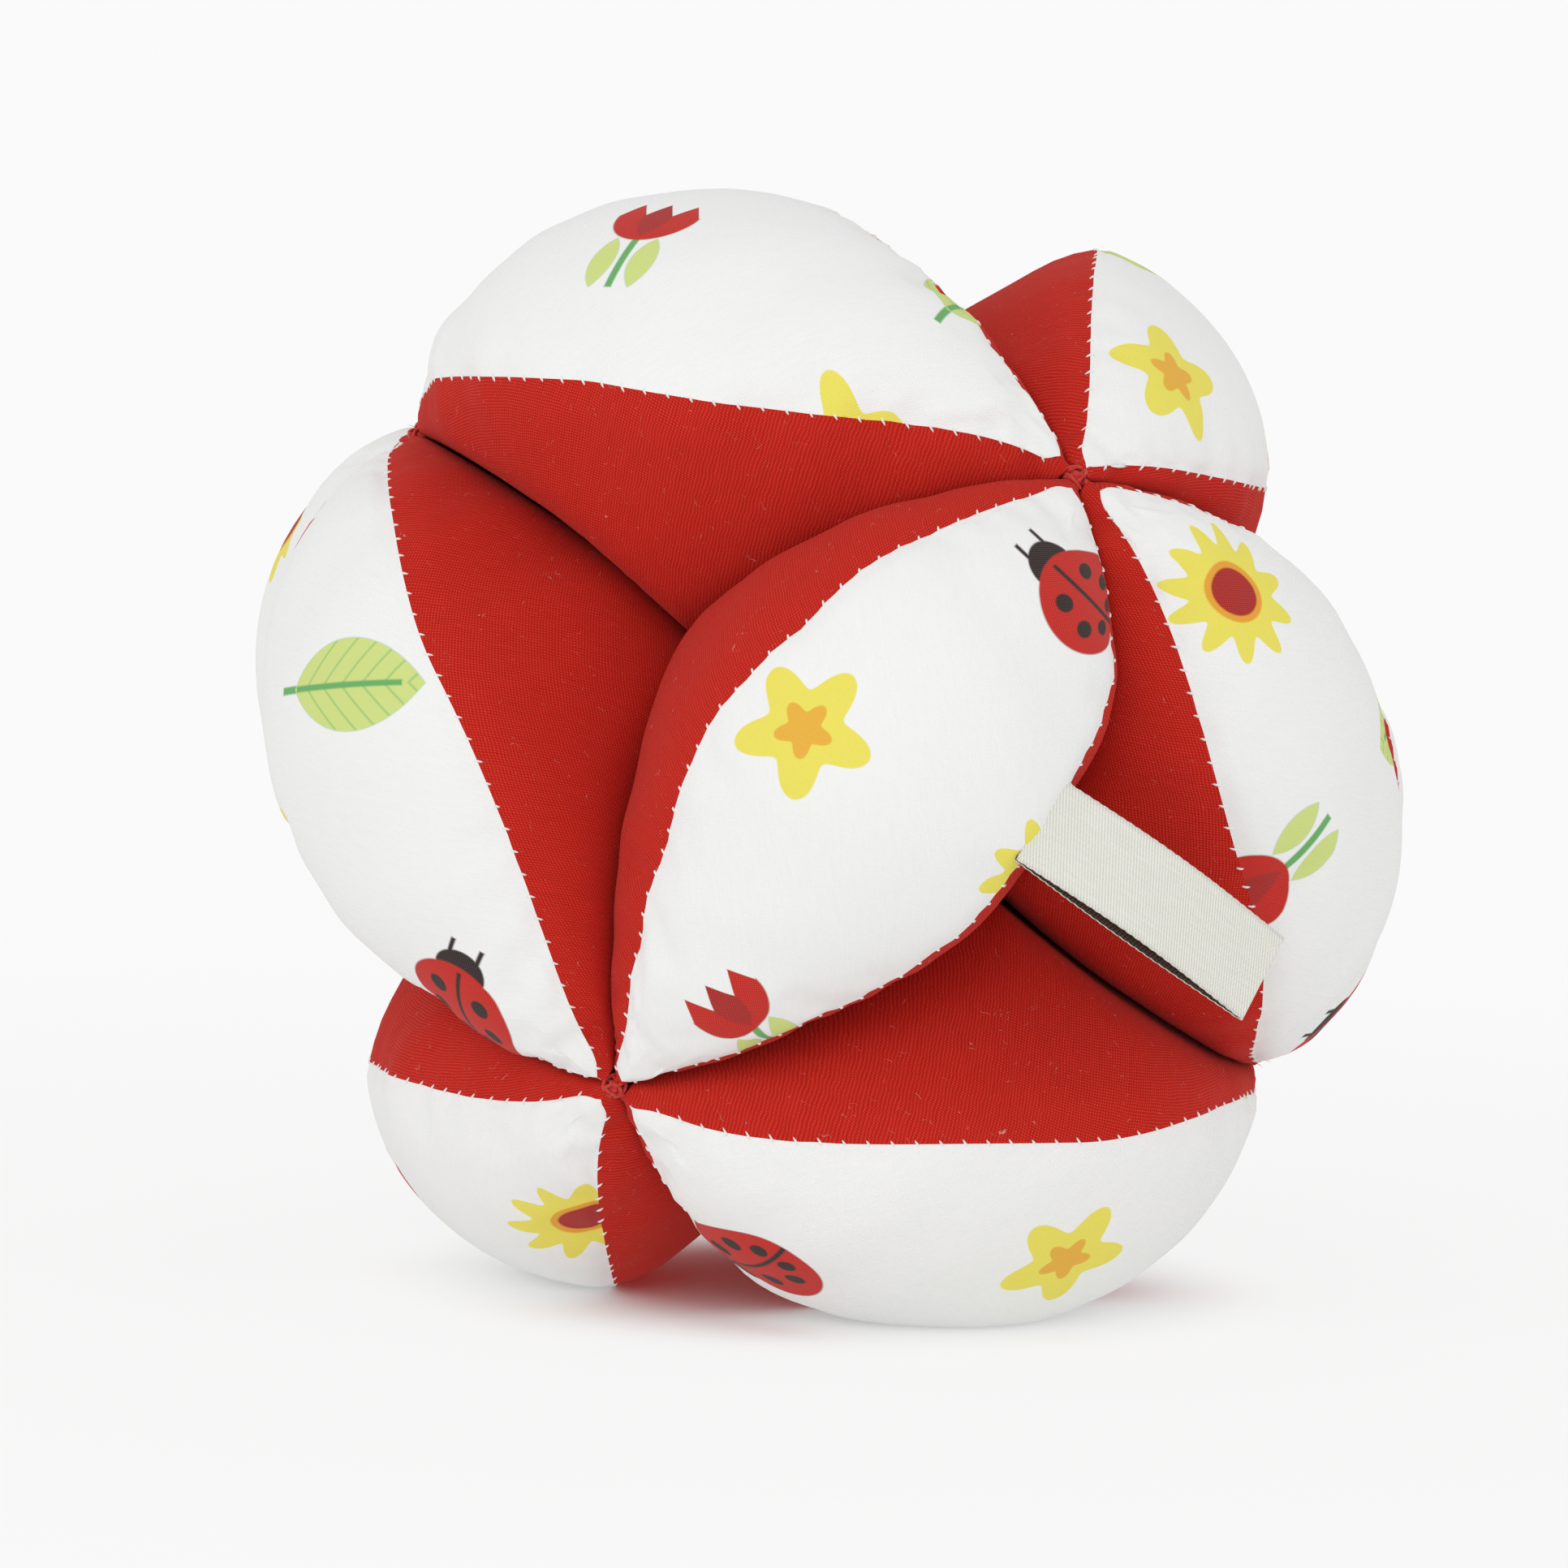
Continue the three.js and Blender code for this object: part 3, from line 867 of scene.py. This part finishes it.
def blowUp(name, ring):
    coarse = ring[::2, ::2]
    live = np.flatnonzero(gapsRound(coarse).min(axis=1) > simLook["apart"])
    coarse = coarse[live[0]:live[-1] + 1]
    rows, columns = coarse.shape[:2]
    index = gridIndex((rows, columns))
    start, finish = rows * columns, rows * columns + 1
    fans = [[start, a, b] for a, b in zip(index[0, :-1].tolist(), index[0, 1:].tolist())]
    fans += [[finish, b, a] for a, b in zip(index[-1, :-1].tolist(), index[-1, 1:].tolist())]
    ends = coarse[[0, -1]].mean(axis=1)
    places = np.vstack([coarse.reshape(-1, 3), ends]) * mm * simLook["scale"]
    skin = addObject(name, newMesh(name, places, gridQuads(index).tolist() + fans, 1.0))
    held = skin.vertex_groups.new(name="held")
    seams = [0, podLook["sideSteps"] // 2, (podLook["sideSteps"] + podLook["outerSteps"]) // 2]
    fixed = np.concatenate([index[:, seams].ravel(), index[[0, -1]].ravel(), [start, finish]])
    held.add(fixed.tolist(), 1.0, "REPLACE")
    cloth = skin.modifiers.new("cloth", "CLOTH")
    for key, value in clothLook.items():
        setattr(cloth.settings, key, value)
    cloth.settings.effector_weights.gravity = 0.0
    cloth.collision_settings.use_collision = False
    cloth.point_cache.frame_start = 1
    cloth.point_cache.frame_end = simLook["frames"]
    return skin, places, (live[0], rows, columns)


# Values between grid lines, from the four nearest lines of a coarse grid twice as wide.
def between(coarse, wrap):
    if wrap:
        near = np.vstack([coarse[-1:], coarse, coarse[:2]])
    else:
        near = np.vstack([2 * coarse[:1] - coarse[1:2], coarse, 2 * coarse[-1:] - coarse[-2:-1]])
    middle = (9 * (near[1:-2] + near[2:-1]) - near[:-3] - near[3:]) / 16
    rows = coarse.shape[0] * 2 - (0 if wrap else 1)
    fine = np.zeros((rows,) + coarse.shape[1:])
    fine[::2] = coarse
    fine[1::2] = middle
    return fine


def simulate(rings):
    skins = {name: blowUp(name + "_simSkin", ring) for name, ring in rings.items()}
    for number in range(1, simLook["frames"] + 1):
        scene.frame_set(number)
    view = bpy.context.evaluated_depsgraph_get()
    moves = {}
    for name, (skin, places, (first, rows, columns)) in skins.items():
        result = skin.evaluated_get(view).data
        after = np.empty(len(result.vertices) * 3, np.float32)
        result.vertices.foreach_get("co", after)
        move = (after.reshape(-1, 3) - places) * 1000 / simLook["scale"]
        size = np.maximum(norms(move), 1e-6)
        move = move * simLook["cap"] * np.tanh(size / simLook["cap"]) / size
        coarse = np.zeros((podLook["rows"] // 2 + 1, columns, 3))
        coarse[first:first + rows] = move[:-2].reshape(rows, columns, 3)
        fine = between(coarse, False)
        moves[name] = between(fine.transpose(1, 0, 2), True).transpose(1, 0, 2)
    for skin, _, _ in skins.values():
        mesh = skin.data
        bpy.data.objects.remove(skin)
        bpy.data.meshes.remove(mesh)
    scene.frame_set(1)
    return moves


# Relief of a skin, in millimetres: lumps of filling, puckers that fade away from the seams, the seams
# drawn in, and ripples from stitch to stitch.
reliefLook = {
    "lump": 0.28,
    "lumpLength": 26.0,
    "lumpSeed": 50,
    "pucker": 0.20,
    "puckerSeed": 90,
    "puckerLength": 9.0,
    "puckerStretch": 0.3,  # puckers run away from the seam, so they change slowly that way
    "puckerFade": 5.0,
    "tuck": 0.30,
    "tuckWidth": 1.1,
    "ripple": 0.06,
    "rippleFade": 1.6,
    "ease": 1.6,  # how soon the relief is in full after a tip
}


# A pod's finished skin: its shape, what the simulation moved, and its relief, kept inside its wedge.
def podSkin(number, name, pod):
    look = {**podLook, **pod}
    lean = radians(look["lean"])
    m, k = look["sideSteps"], look["outerSteps"]
    mid = m + k // 2
    ring, taper, inLens = podShape(pod)
    ring = ring + moves.get(name, 0)

    # Distances on the cloth: along the pod, and round each row from the nearer seam.
    around = gapsRound(ring)
    run = np.cumsum(around, axis=1) - around
    fromSeam = np.minimum(np.abs(run - run[:, m:m + 1]), np.abs(run - run[:, m + k:m + k + 1]))
    length = runAlong(ring[:, mid])[:, None]

    # Outward direction of every point, across the two ways of the grid.
    downRows = np.gradient(ring, axis=0)
    downColumns = np.roll(ring, -1, axis=1) - np.roll(ring, 1, axis=1)
    normal = np.cross(downRows, downColumns)
    normal = normal / np.maximum(norms(normal), 1e-9)
    if normal[:, mid, 1].mean() < 0:
        normal = -normal

    relief = reliefLook
    swell = relief["lump"] * lumps(length, run, relief["lumpSeed"] + number, relief["lumpLength"])
    seed = relief["puckerSeed"] + number
    puckers = lumps(length, run * relief["puckerStretch"], seed, relief["puckerLength"])
    swell = swell + relief["pucker"] * puckers * np.exp(-fromSeam / relief["puckerFade"])
    swell = swell - relief["tuck"] * np.exp(-((fromSeam / relief["tuckWidth"]) ** 2))
    ripples = np.cos(2 * pi * length / look["stitch"])
    swell = swell + relief["ripple"] * ripples * np.exp(-fromSeam / relief["rippleFade"])
    ring = ring + normal * (swell * np.clip(taper * relief["ease"], 0, 1))[..., None]

    # Neighbours keep the pod inside its wedge.
    px, pu, pv = ring[..., 0], ring[..., 1], ring[..., 2]
    for side, own in podSides(pod):
        limit = wedgeHalf(px, pu, side, lean, look["gap"]) + pushAt(px, own["push"])
        pv = side * softMin(side * pv, limit, look["round"] * taper + look["leastRound"])
    along, out, across = podAxes(pod["ends"])
    worldU, worldV = swung(pu, pv, -lean)
    origin = ballCentre + out * chordHalf
    points = origin + px[..., None] * along + worldU[..., None] * out + worldV[..., None] * across
    points[..., 2] = -softMin(-points[..., 2], 0, look["floorRound"])  # flattened where it stands
    for row in (0, -1):
        points[row] = points[row].mean(axis=0)
    uv = np.stack([length + 0 * run, run - run[:, mid:mid + 1]], -1)
    uv = (uv + np.array(look["print"])) / 100
    lensRows = np.flatnonzero(inLens[:, 0])
    return points, uv, (m, k), (max(lensRows[0] - 1, 0), min(lensRows[-1] + 2, look["rows"]))


# Stitch ticks: short white loops that cross a seam from the outer panel into the red.
stitchLook = {
    "margin": 1.6,  # mm from a seam's ends to its first and last tick
    "reach": 0.52,  # mm into the red
    "back": 0.35,  # mm into the outer panel
    "sizes": (0.75, 1.2),
    "thick": 0.16,
    "lift": 0.06,
    "slant": 0.4,
    "lowest": 0.02,  # mm over the floor
    "sides": 6,
    "steps": 6,
}


def stitchMesh(name, points, seamColumn, redStep, pitch):
    seam = points[:, seamColumn]
    red = points[:, (seamColumn + 2 * redStep) % points.shape[1]]
    white = points[:, seamColumn - 2 * redStep]
    look = stitchLook
    run = runAlong(seam)
    places = np.arange(look["margin"], run[-1] - look["margin"], pitch)

    def pick(rows):
        return np.stack([np.interp(places, run, rows[:, c]) for c in range(3)], -1)

    at = pick(seam)
    toRed = unit(pick(red) - at)
    toWhite = unit(pick(white) - at)
    tangent = unit(pick(np.gradient(seam, axis=0)))
    outward = unit(np.cross(tangent, toRed) * redStep + np.cross(toWhite, tangent) * redStep)
    outward = outward * np.sign(np.sum(outward * (at - ballCentre), axis=-1, keepdims=True))
    random = np.random.default_rng(len(places) + seamColumn)
    size = random.uniform(*look["sizes"], len(places))[:, None, None]
    a = np.linspace(0, 1, look["steps"])[None, :, None]
    reach = (-look["back"] + (look["back"] + look["reach"]) * a) * size
    path = at[:, None] + np.maximum(reach, 0) * toRed[:, None] + np.maximum(-reach, 0) * toWhite[:, None]
    path = path + look["lift"] * np.sin(pi * a) * outward[:, None]
    path = path + look["slant"] * reach * tangent[:, None]
    thick = look["thick"] * np.sin(pi * np.clip(a, 0.02, 0.98)) ** 0.5  # round at both ends
    tubes = path[:, :, None] + thick[..., None] * circle(look["sides"], tangent[:, None], outward[:, None])
    tubes[..., 2] = np.maximum(tubes[..., 2], look["lowest"])
    index = gridIndex(tubes.shape[:3])
    caps = np.concatenate([index[:, 0, :-1][:, ::-1], index[:, -1, :-1]])
    return newMesh(name, tubes, gridQuads(index).tolist() + caps.tolist())


def joinMeshes(name, parts):
    edit = bmesh.new()
    for part in parts:
        edit.from_mesh(part)
    bmesh.ops.recalc_face_normals(edit, faces=edit.faces)
    mesh = bpy.data.meshes.new(name)
    edit.to_mesh(mesh)
    edit.free()
    return mesh


def buildPod(number, name, pod):
    points, uv, (m, k), (first, last) = podSkin(number, name, pod)
    body = name + "_pod"
    seamLines[name] = points[first:last, m], points[first:last, m + k]
    closing = np.concatenate([points[:, m + k:], points[:, :1]], axis=1)
    closingUv = np.concatenate([uv[:, m + k:], 2 * uv[:, -1:] - uv[:, -2:-1]], axis=1)
    outer = slice(first, last), slice(m, m + k + 1)
    middle = points.mean(axis=(0, 1))
    inner = middle + (points[::4, ::4] - middle) * podLook["stuffing"]
    sewn = [
        ("near_side_panel", points[:, :m + 1], uv[:, :m + 1], redCotton, "red_cotton"),
        ("outer_panel", points[outer], uv[outer], printCotton, "print_cotton"),
        ("far_side_panel", closing, closingUv, redCotton, "red_cotton"),
        ("filling", inner, None, fibreFilling, "fibre_filling"),
    ]
    for node, grid, gridUv, material, slot in sewn:
        closed = node == "filling"
        kind = "stuffing" if closed else node + "_cloth"
        mesh = gridMesh(f"{name}_{kind}", grid, gridUv, wrapColumns=closed)
        piece = makePiece(f"{name}_{kind}", mesh, [material], body, poles=True)
        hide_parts(f"{name}_{node}")
    seams = [
        stitchMesh(name + "_nearSeam", points[first:last], m, -1, podLook["stitch"]),
        stitchMesh(name + "_farSeam", points[first:last], m + k, 1, podLook["stitch"]),
    ]
    makePiece(f"{name}_stitching", joinMeshes(f"{name}_stitching", seams), [whiteThread], body)


seamLines = {}
moves = simulate({name: podShape(pod)[0] for name, pod in pods.items()})
largest = max([float(np.linalg.norm(m, axis=-1).max()) for m in moves.values()], default=0.0)
print("cloth blown up, largest move", round(largest, 2), "mm")
for number, (name, pod) in enumerate(pods.items()):
    buildPod(number, name, pod)
print("pods sewn and stuffed:", len(pods))

# Knots: a thread that runs back and forth across a tip in loose loops, and a few cut ends that stand off.
knotLook = {
    "radius": 1.2,
    "thread": 0.21,
    "turns": (5, 4, 7),  # of the thread, the three ways
    "squash": (1.0, 0.85, 0.7),
    "onBall": 0.75,  # what lies further out than this, against the radius, is drawn onto the ball
    "loose": 0.12,
    "core": 0.72,  # of the ball under the loops, against the radius
    "coreSteps": (9, 16),
    "points": 220,
    "sides": 6,
    "ends": 6,
    "endPoints": 9,
    "endRoot": 0.7,  # from the middle to where an end leaves, against the radius
    "endThread": 0.06,
    "endReach": 2.3,
    "endBend": 0.7,
    "endUp": 1.2,  # how much the ends turn outwards
}


# Tube: a circle carried along a path, thinner where its width says so.
def tubeMesh(name, path, width, closed):
    if closed:
        tangent = unit(np.roll(path, -1, axis=0) - np.roll(path, 1, axis=0))
    else:
        tangent = unit(np.gradient(path, axis=0))
    outward = path - path.mean(axis=0) + np.array([0.013, 0.007, 0.011])  # never quite nothing
    side = unit(np.cross(tangent, outward))
    ring = circle(knotLook["sides"], side, np.cross(side, tangent))
    tube = path[:, None] + np.broadcast_to(width, len(path))[:, None, None] * ring
    return gridMesh(name, tube, wrapRows=closed, wrapColumns=True)


def knotMesh(name, tip, seed):
    random = np.random.default_rng(seed + 3)
    look = knotLook
    a = turnSteps(look["points"])
    phases = random.uniform(0, 2 * pi, 3)
    swing = [np.sin(turns * a + phase) for turns, phase in zip(look["turns"], phases)]
    path = np.stack(swing, -1) * look["squash"]
    path = path / np.maximum(norms(path), look["onBall"])
    path = path * look["radius"] * (1 + look["loose"] * np.sin(3 * a + phases[0]))[:, None]
    parts = [tubeMesh(name + "_loops", path, look["thread"], True)]
    t = np.linspace(0, 1, look["endPoints"])[:, None]
    for k in range(look["ends"]):
        start, away, bend = unit(random.normal(size=(3, 3)))
        away = unit(away + start + np.array([0, 0, look["endUp"]]))
        line = start * look["radius"] * look["endRoot"]
        line = line + t * away * look["endReach"] * random.uniform(0.5, 1)
        line = line + look["endBend"] * t ** 2 * bend
        parts.append(tubeMesh(f"{name}_end{k}", line, look["endThread"] * (1.02 - t[:, 0]), False))
    rows = np.linspace(0, pi, look["coreSteps"][0])[:, None]
    columns = turnSteps(look["coreSteps"][1])[None, :]
    ball = [np.sin(rows) * np.cos(columns), np.sin(rows) * np.sin(columns), np.cos(rows) + 0 * columns]
    core = np.stack(ball, -1) * look["radius"] * look["core"]
    parts.append(gridMesh(name + "_core", core, wrapColumns=True))
    mesh = joinMeshes(name, parts)
    turn = Vector(tip - ballCentre).to_track_quat("Z", "Y").to_matrix().to_4x4()
    turn.translation = tip * mm
    mesh.transform(turn)
    return mesh


for seed, tip in enumerate(tipNames):
    mesh = knotMesh(tip + "_knot_thread", tips[tip], seed)
    piece = makePiece(tip + "_knot_thread", mesh, [redThread], "tip_knots", poles=True)
    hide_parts(tip + "_knot")
print("tips tied:", len(tipNames))

# Ribbon tag: one ribbon folded in two, its leaves bowed a little apart, both ends in the seam.
tagLook = {
    "width": 10.4,
    "thick": 0.34,
    "open": 2.5,  # between the two leaves, half way along
    "bow": 0.5,
    "crease": 0.12,  # inner radius of the fold
    "twist": 14.0,  # degrees, that the face looks up past its seam
    "steps": 120,
    "foldSteps": 9,
    "across": 17,
    "picot": 0.09,  # small loops along the ribbon's edges
    "picotPitch": 1.15,
    "tuck": 1.5,  # inside the seam
    "longer": 1.2,  # than the solid
    "higher": 1.5,  # along the seam
}


def buildTag():
    look = tagLook
    joint = next(j for j in frame["joints"] if j["name"] == "tag_flap")
    root = np.array(joint["pos_m"]) * 1000
    across = -unit(np.array(joint["axis"]))
    solid = np.array([v.co for v in frame["nodes"]["ribbon_tag"].data.vertices]) * 1000 - root
    along = solid.mean(axis=0)
    along = unit(along - across * np.dot(along, across))
    length = float((solid @ along).max()) + look["longer"]
    seam = seamLines["front"][0]
    root = seam[np.argmin(np.linalg.norm(seam - root - across * look["higher"], axis=-1))]
    out = np.cross(along, across)
    out = out * np.sign(np.dot(out, root - ballCentre))
    out, across = swung(out, across, radians(look["twist"]))
    t = np.linspace(0, 1, look["steps"])
    gap = 0.5 * look["open"] * np.sin(pi * t) ** 1.2
    rise = look["bow"] * np.sin(pi * t)
    fold = 0.5 * look["thick"] + look["crease"]
    bend = np.linspace(pi / 2, -pi / 2, look["foldSteps"])[1:-1]
    leaf = -look["tuck"] + (length - fold + look["tuck"]) * t
    lineS = np.concatenate([leaf, length - fold + fold * np.cos(bend), leaf[::-1]])
    lineN = np.concatenate([rise + gap + fold, fold * np.sin(bend), (rise - gap - fold)[::-1]])
    line = np.stack([lineS, lineN], -1)
    tangent = unit(np.gradient(line, axis=0))
    normal = np.stack([-tangent[:, 1], tangent[:, 0]], -1)
    run = runAlong(line)
    w = np.linspace(-0.5, 0.5, look["across"])
    loops = np.abs(np.sin(pi * run / look["picotPitch"]))[:, None]
    edge = 1 + look["picot"] / look["width"] * 2 * (np.abs(w) > 0.49) * loops  # on the outermost columns
    wide = (w * edge * look["width"])[..., None] * across

    def layer(offset):
        moved = (line + normal * offset)[:, None]
        return root + moved[..., :1] * along + moved[..., 1:] * out + wide

    outer, inner = layer(0.5 * look["thick"]), layer(-0.5 * look["thick"])
    uv = np.stack(np.meshgrid(w * look["width"], run), -1) / 100
    shell = np.concatenate([outer, inner[:, ::-1]], axis=1)
    shellUv = np.concatenate([uv, uv[:, ::-1]], axis=1)
    mesh = gridMesh("ribbon_tag_cloth", shell, shellUv, wrapColumns=True)
    column = np.arange(shell.shape[1])
    lined = (column >= look["across"]) & (column < shell.shape[1] - 1)
    isInner = np.tile(lined, shell.shape[0] - 1)
    mesh.polygons.foreach_set("material_index", isInner.astype(np.int32))
    edit = bmesh.new()
    edit.from_mesh(mesh)
    bmesh.ops.holes_fill(edit, edges=edit.edges, sides=0)
    bmesh.ops.recalc_face_normals(edit, faces=edit.faces)
    edit.to_mesh(mesh)
    edit.free()
    piece = makePiece("ribbon_tag_cloth", mesh, [ivoryRibbon, brownLining], "tag")
    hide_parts("ribbon_tag")
    return run[-1]


print("tag folded from a ribbon", round(buildTag(), 1), "mm long")

# Floor, light and camera
studioLook = {
    "floor": colour(0.905, 0.905, 0.895),
    "floorShade": colour(0.895, 0.895, 0.885),
    "back": colour(0.955, 0.955, 0.955),
    "under": 0.022,  # metres from the middle, as far as the floor shows all its own light and shade
    "near": 0.056,  # from here it shows only a share of it
    "shade": 0.14,  # that share
    "far": 0.42,  # from here it shows the backdrop's colour alone
    "table": 0.38,  # share of the backdrop's light that the floor gives what stands on it
    "half": 4000.0,  # mm from the floor's middle to its sides
    "world": 0.778,
}
lampLook = {  # place and size in metres, power in watts
    "keyLamp": ((-1.05, -0.7, 0.5), 0.5, 1.7),
    "fillLamp": ((0.9, -0.8, 0.5), 0.9, 1.4),
    "frontLamp": ((-0.35, -1.25, 0.6), 0.5, 1.6),
    "lowLamp": ((-0.05, -0.9, 0.10), 0.18, 0.35),
}
cameraLook = {
    "azimuth": -1.02,  # degrees
    "elevation": 5.65,
    "roll": 1.69,
    "distance": 1100.0,  # mm from the ball's centre
    "scale": 10.68,  # photo pixels for a millimetre at the ball's centre
    "frame": 1932.0,  # photo pixels, side to side
    "sensor": 36.0,
    "ballAt": (1031.0, 920.0),  # where the ball's centre falls in the photo
}


# 1 where a ray comes from the camera, or through a mirror or glass.
def seenRay(tree):
    path = tree.nodes.new("ShaderNodeLightPath").outputs
    relayed = calc("MAXIMUM", path["Is Glossy Ray"], path["Is Transmission Ray"])
    return calc("MAXIMUM", path["Is Camera Ray"], relayed)


def makeFloor():
    material, shader = newMaterial("paleFloor")
    tree = material.node_tree
    look = studioLook
    place = objectPlace(shader)
    base = mixColour(noise(place, 6.0), look["floor"], look["floorShade"])
    setInputs(shader, {"Base Color": base, "Roughness": 0.9, "Specular IOR Level": 0.1})
    glow = tree.nodes.new("ShaderNodeEmission")
    glow.inputs["Color"].default_value = look["back"]
    distance = vectorCalc("LENGTH", place)
    close = ramp(distance, look["under"], look["near"], 0.0, 1 - look["shade"])
    away = ramp(distance, look["near"], look["far"], 0.0, look["shade"])
    away = calc("ADD", close, away)
    seen = seenRay(tree)
    table = times(minus(1.0, seen), look["table"])
    share = calc("MULTIPLY_ADD", away, seen, table)
    mixShaders(share, shader, glow, tree.nodes["Material Output"])
    side = np.linspace(-look["half"], look["half"], 9)
    points = np.stack(np.meshgrid(side, side, [0.0], indexing="ij"), -1)[:, :, 0]
    floor = addObject("floor", gridMesh("floor", points))
    floor.data.materials.append(material)


def makeLamp(name, place, size, power):
    lamp = bpy.data.lights.new(name, "AREA")
    lamp.energy = power
    lamp.size = size
    thing = addObject(name, lamp)
    thing.location = place
    thing.rotation_euler = (Vector(ballCentre * mm) - Vector(place)).to_track_quat("-Z", "Y").to_euler()


def makeWorld():
    world = bpy.data.worlds.new("studio")
    scene.world = world
    world.use_nodes = True
    tree = world.node_tree
    light = tree.nodes["Background"]
    setInputs(light, {"Color": colour(1, 1, 1), "Strength": studioLook["world"]})
    seen = tree.nodes.new("ShaderNodeBackground")
    seen.inputs["Color"].default_value = studioLook["back"]
    mixShaders(seenRay(tree), light, seen, tree.nodes["World Output"])


def makeCamera():
    look = cameraLook
    a, e, r = (radians(look[k]) for k in ("azimuth", "elevation", "roll"))
    back = Vector((sin(a) * cos(e), -cos(a) * cos(e), sin(e)))
    right = Vector((cos(a), sin(a), 0))
    up = back.cross(right)
    right, up = swung(right, up, r)
    shiftX = (look["ballAt"][0] - look["frame"] / 2) / look["scale"]
    shiftY = (look["frame"] / 2 - look["ballAt"][1]) / look["scale"]
    place = Vector(ballCentre) + back * look["distance"] - right * shiftX - up * shiftY
    optics = bpy.data.cameras.new("camera")
    optics.sensor_width = look["sensor"]
    optics.lens = look["sensor"] * look["scale"] * look["distance"] / look["frame"]
    optics.clip_start = 0.05
    optics.clip_end = 50.0
    camera = addObject("camera", optics)
    matrix = Matrix((right, up, back)).transposed().to_4x4()
    matrix.translation = place * mm
    camera.matrix_world = matrix
    scene.camera = camera


makeFloor()
for name, (place, size, power) in lampLook.items():
    makeLamp(name, place, size, power)
makeWorld()
makeCamera()
scene.view_settings.view_transform = "Standard"
print("studio set")
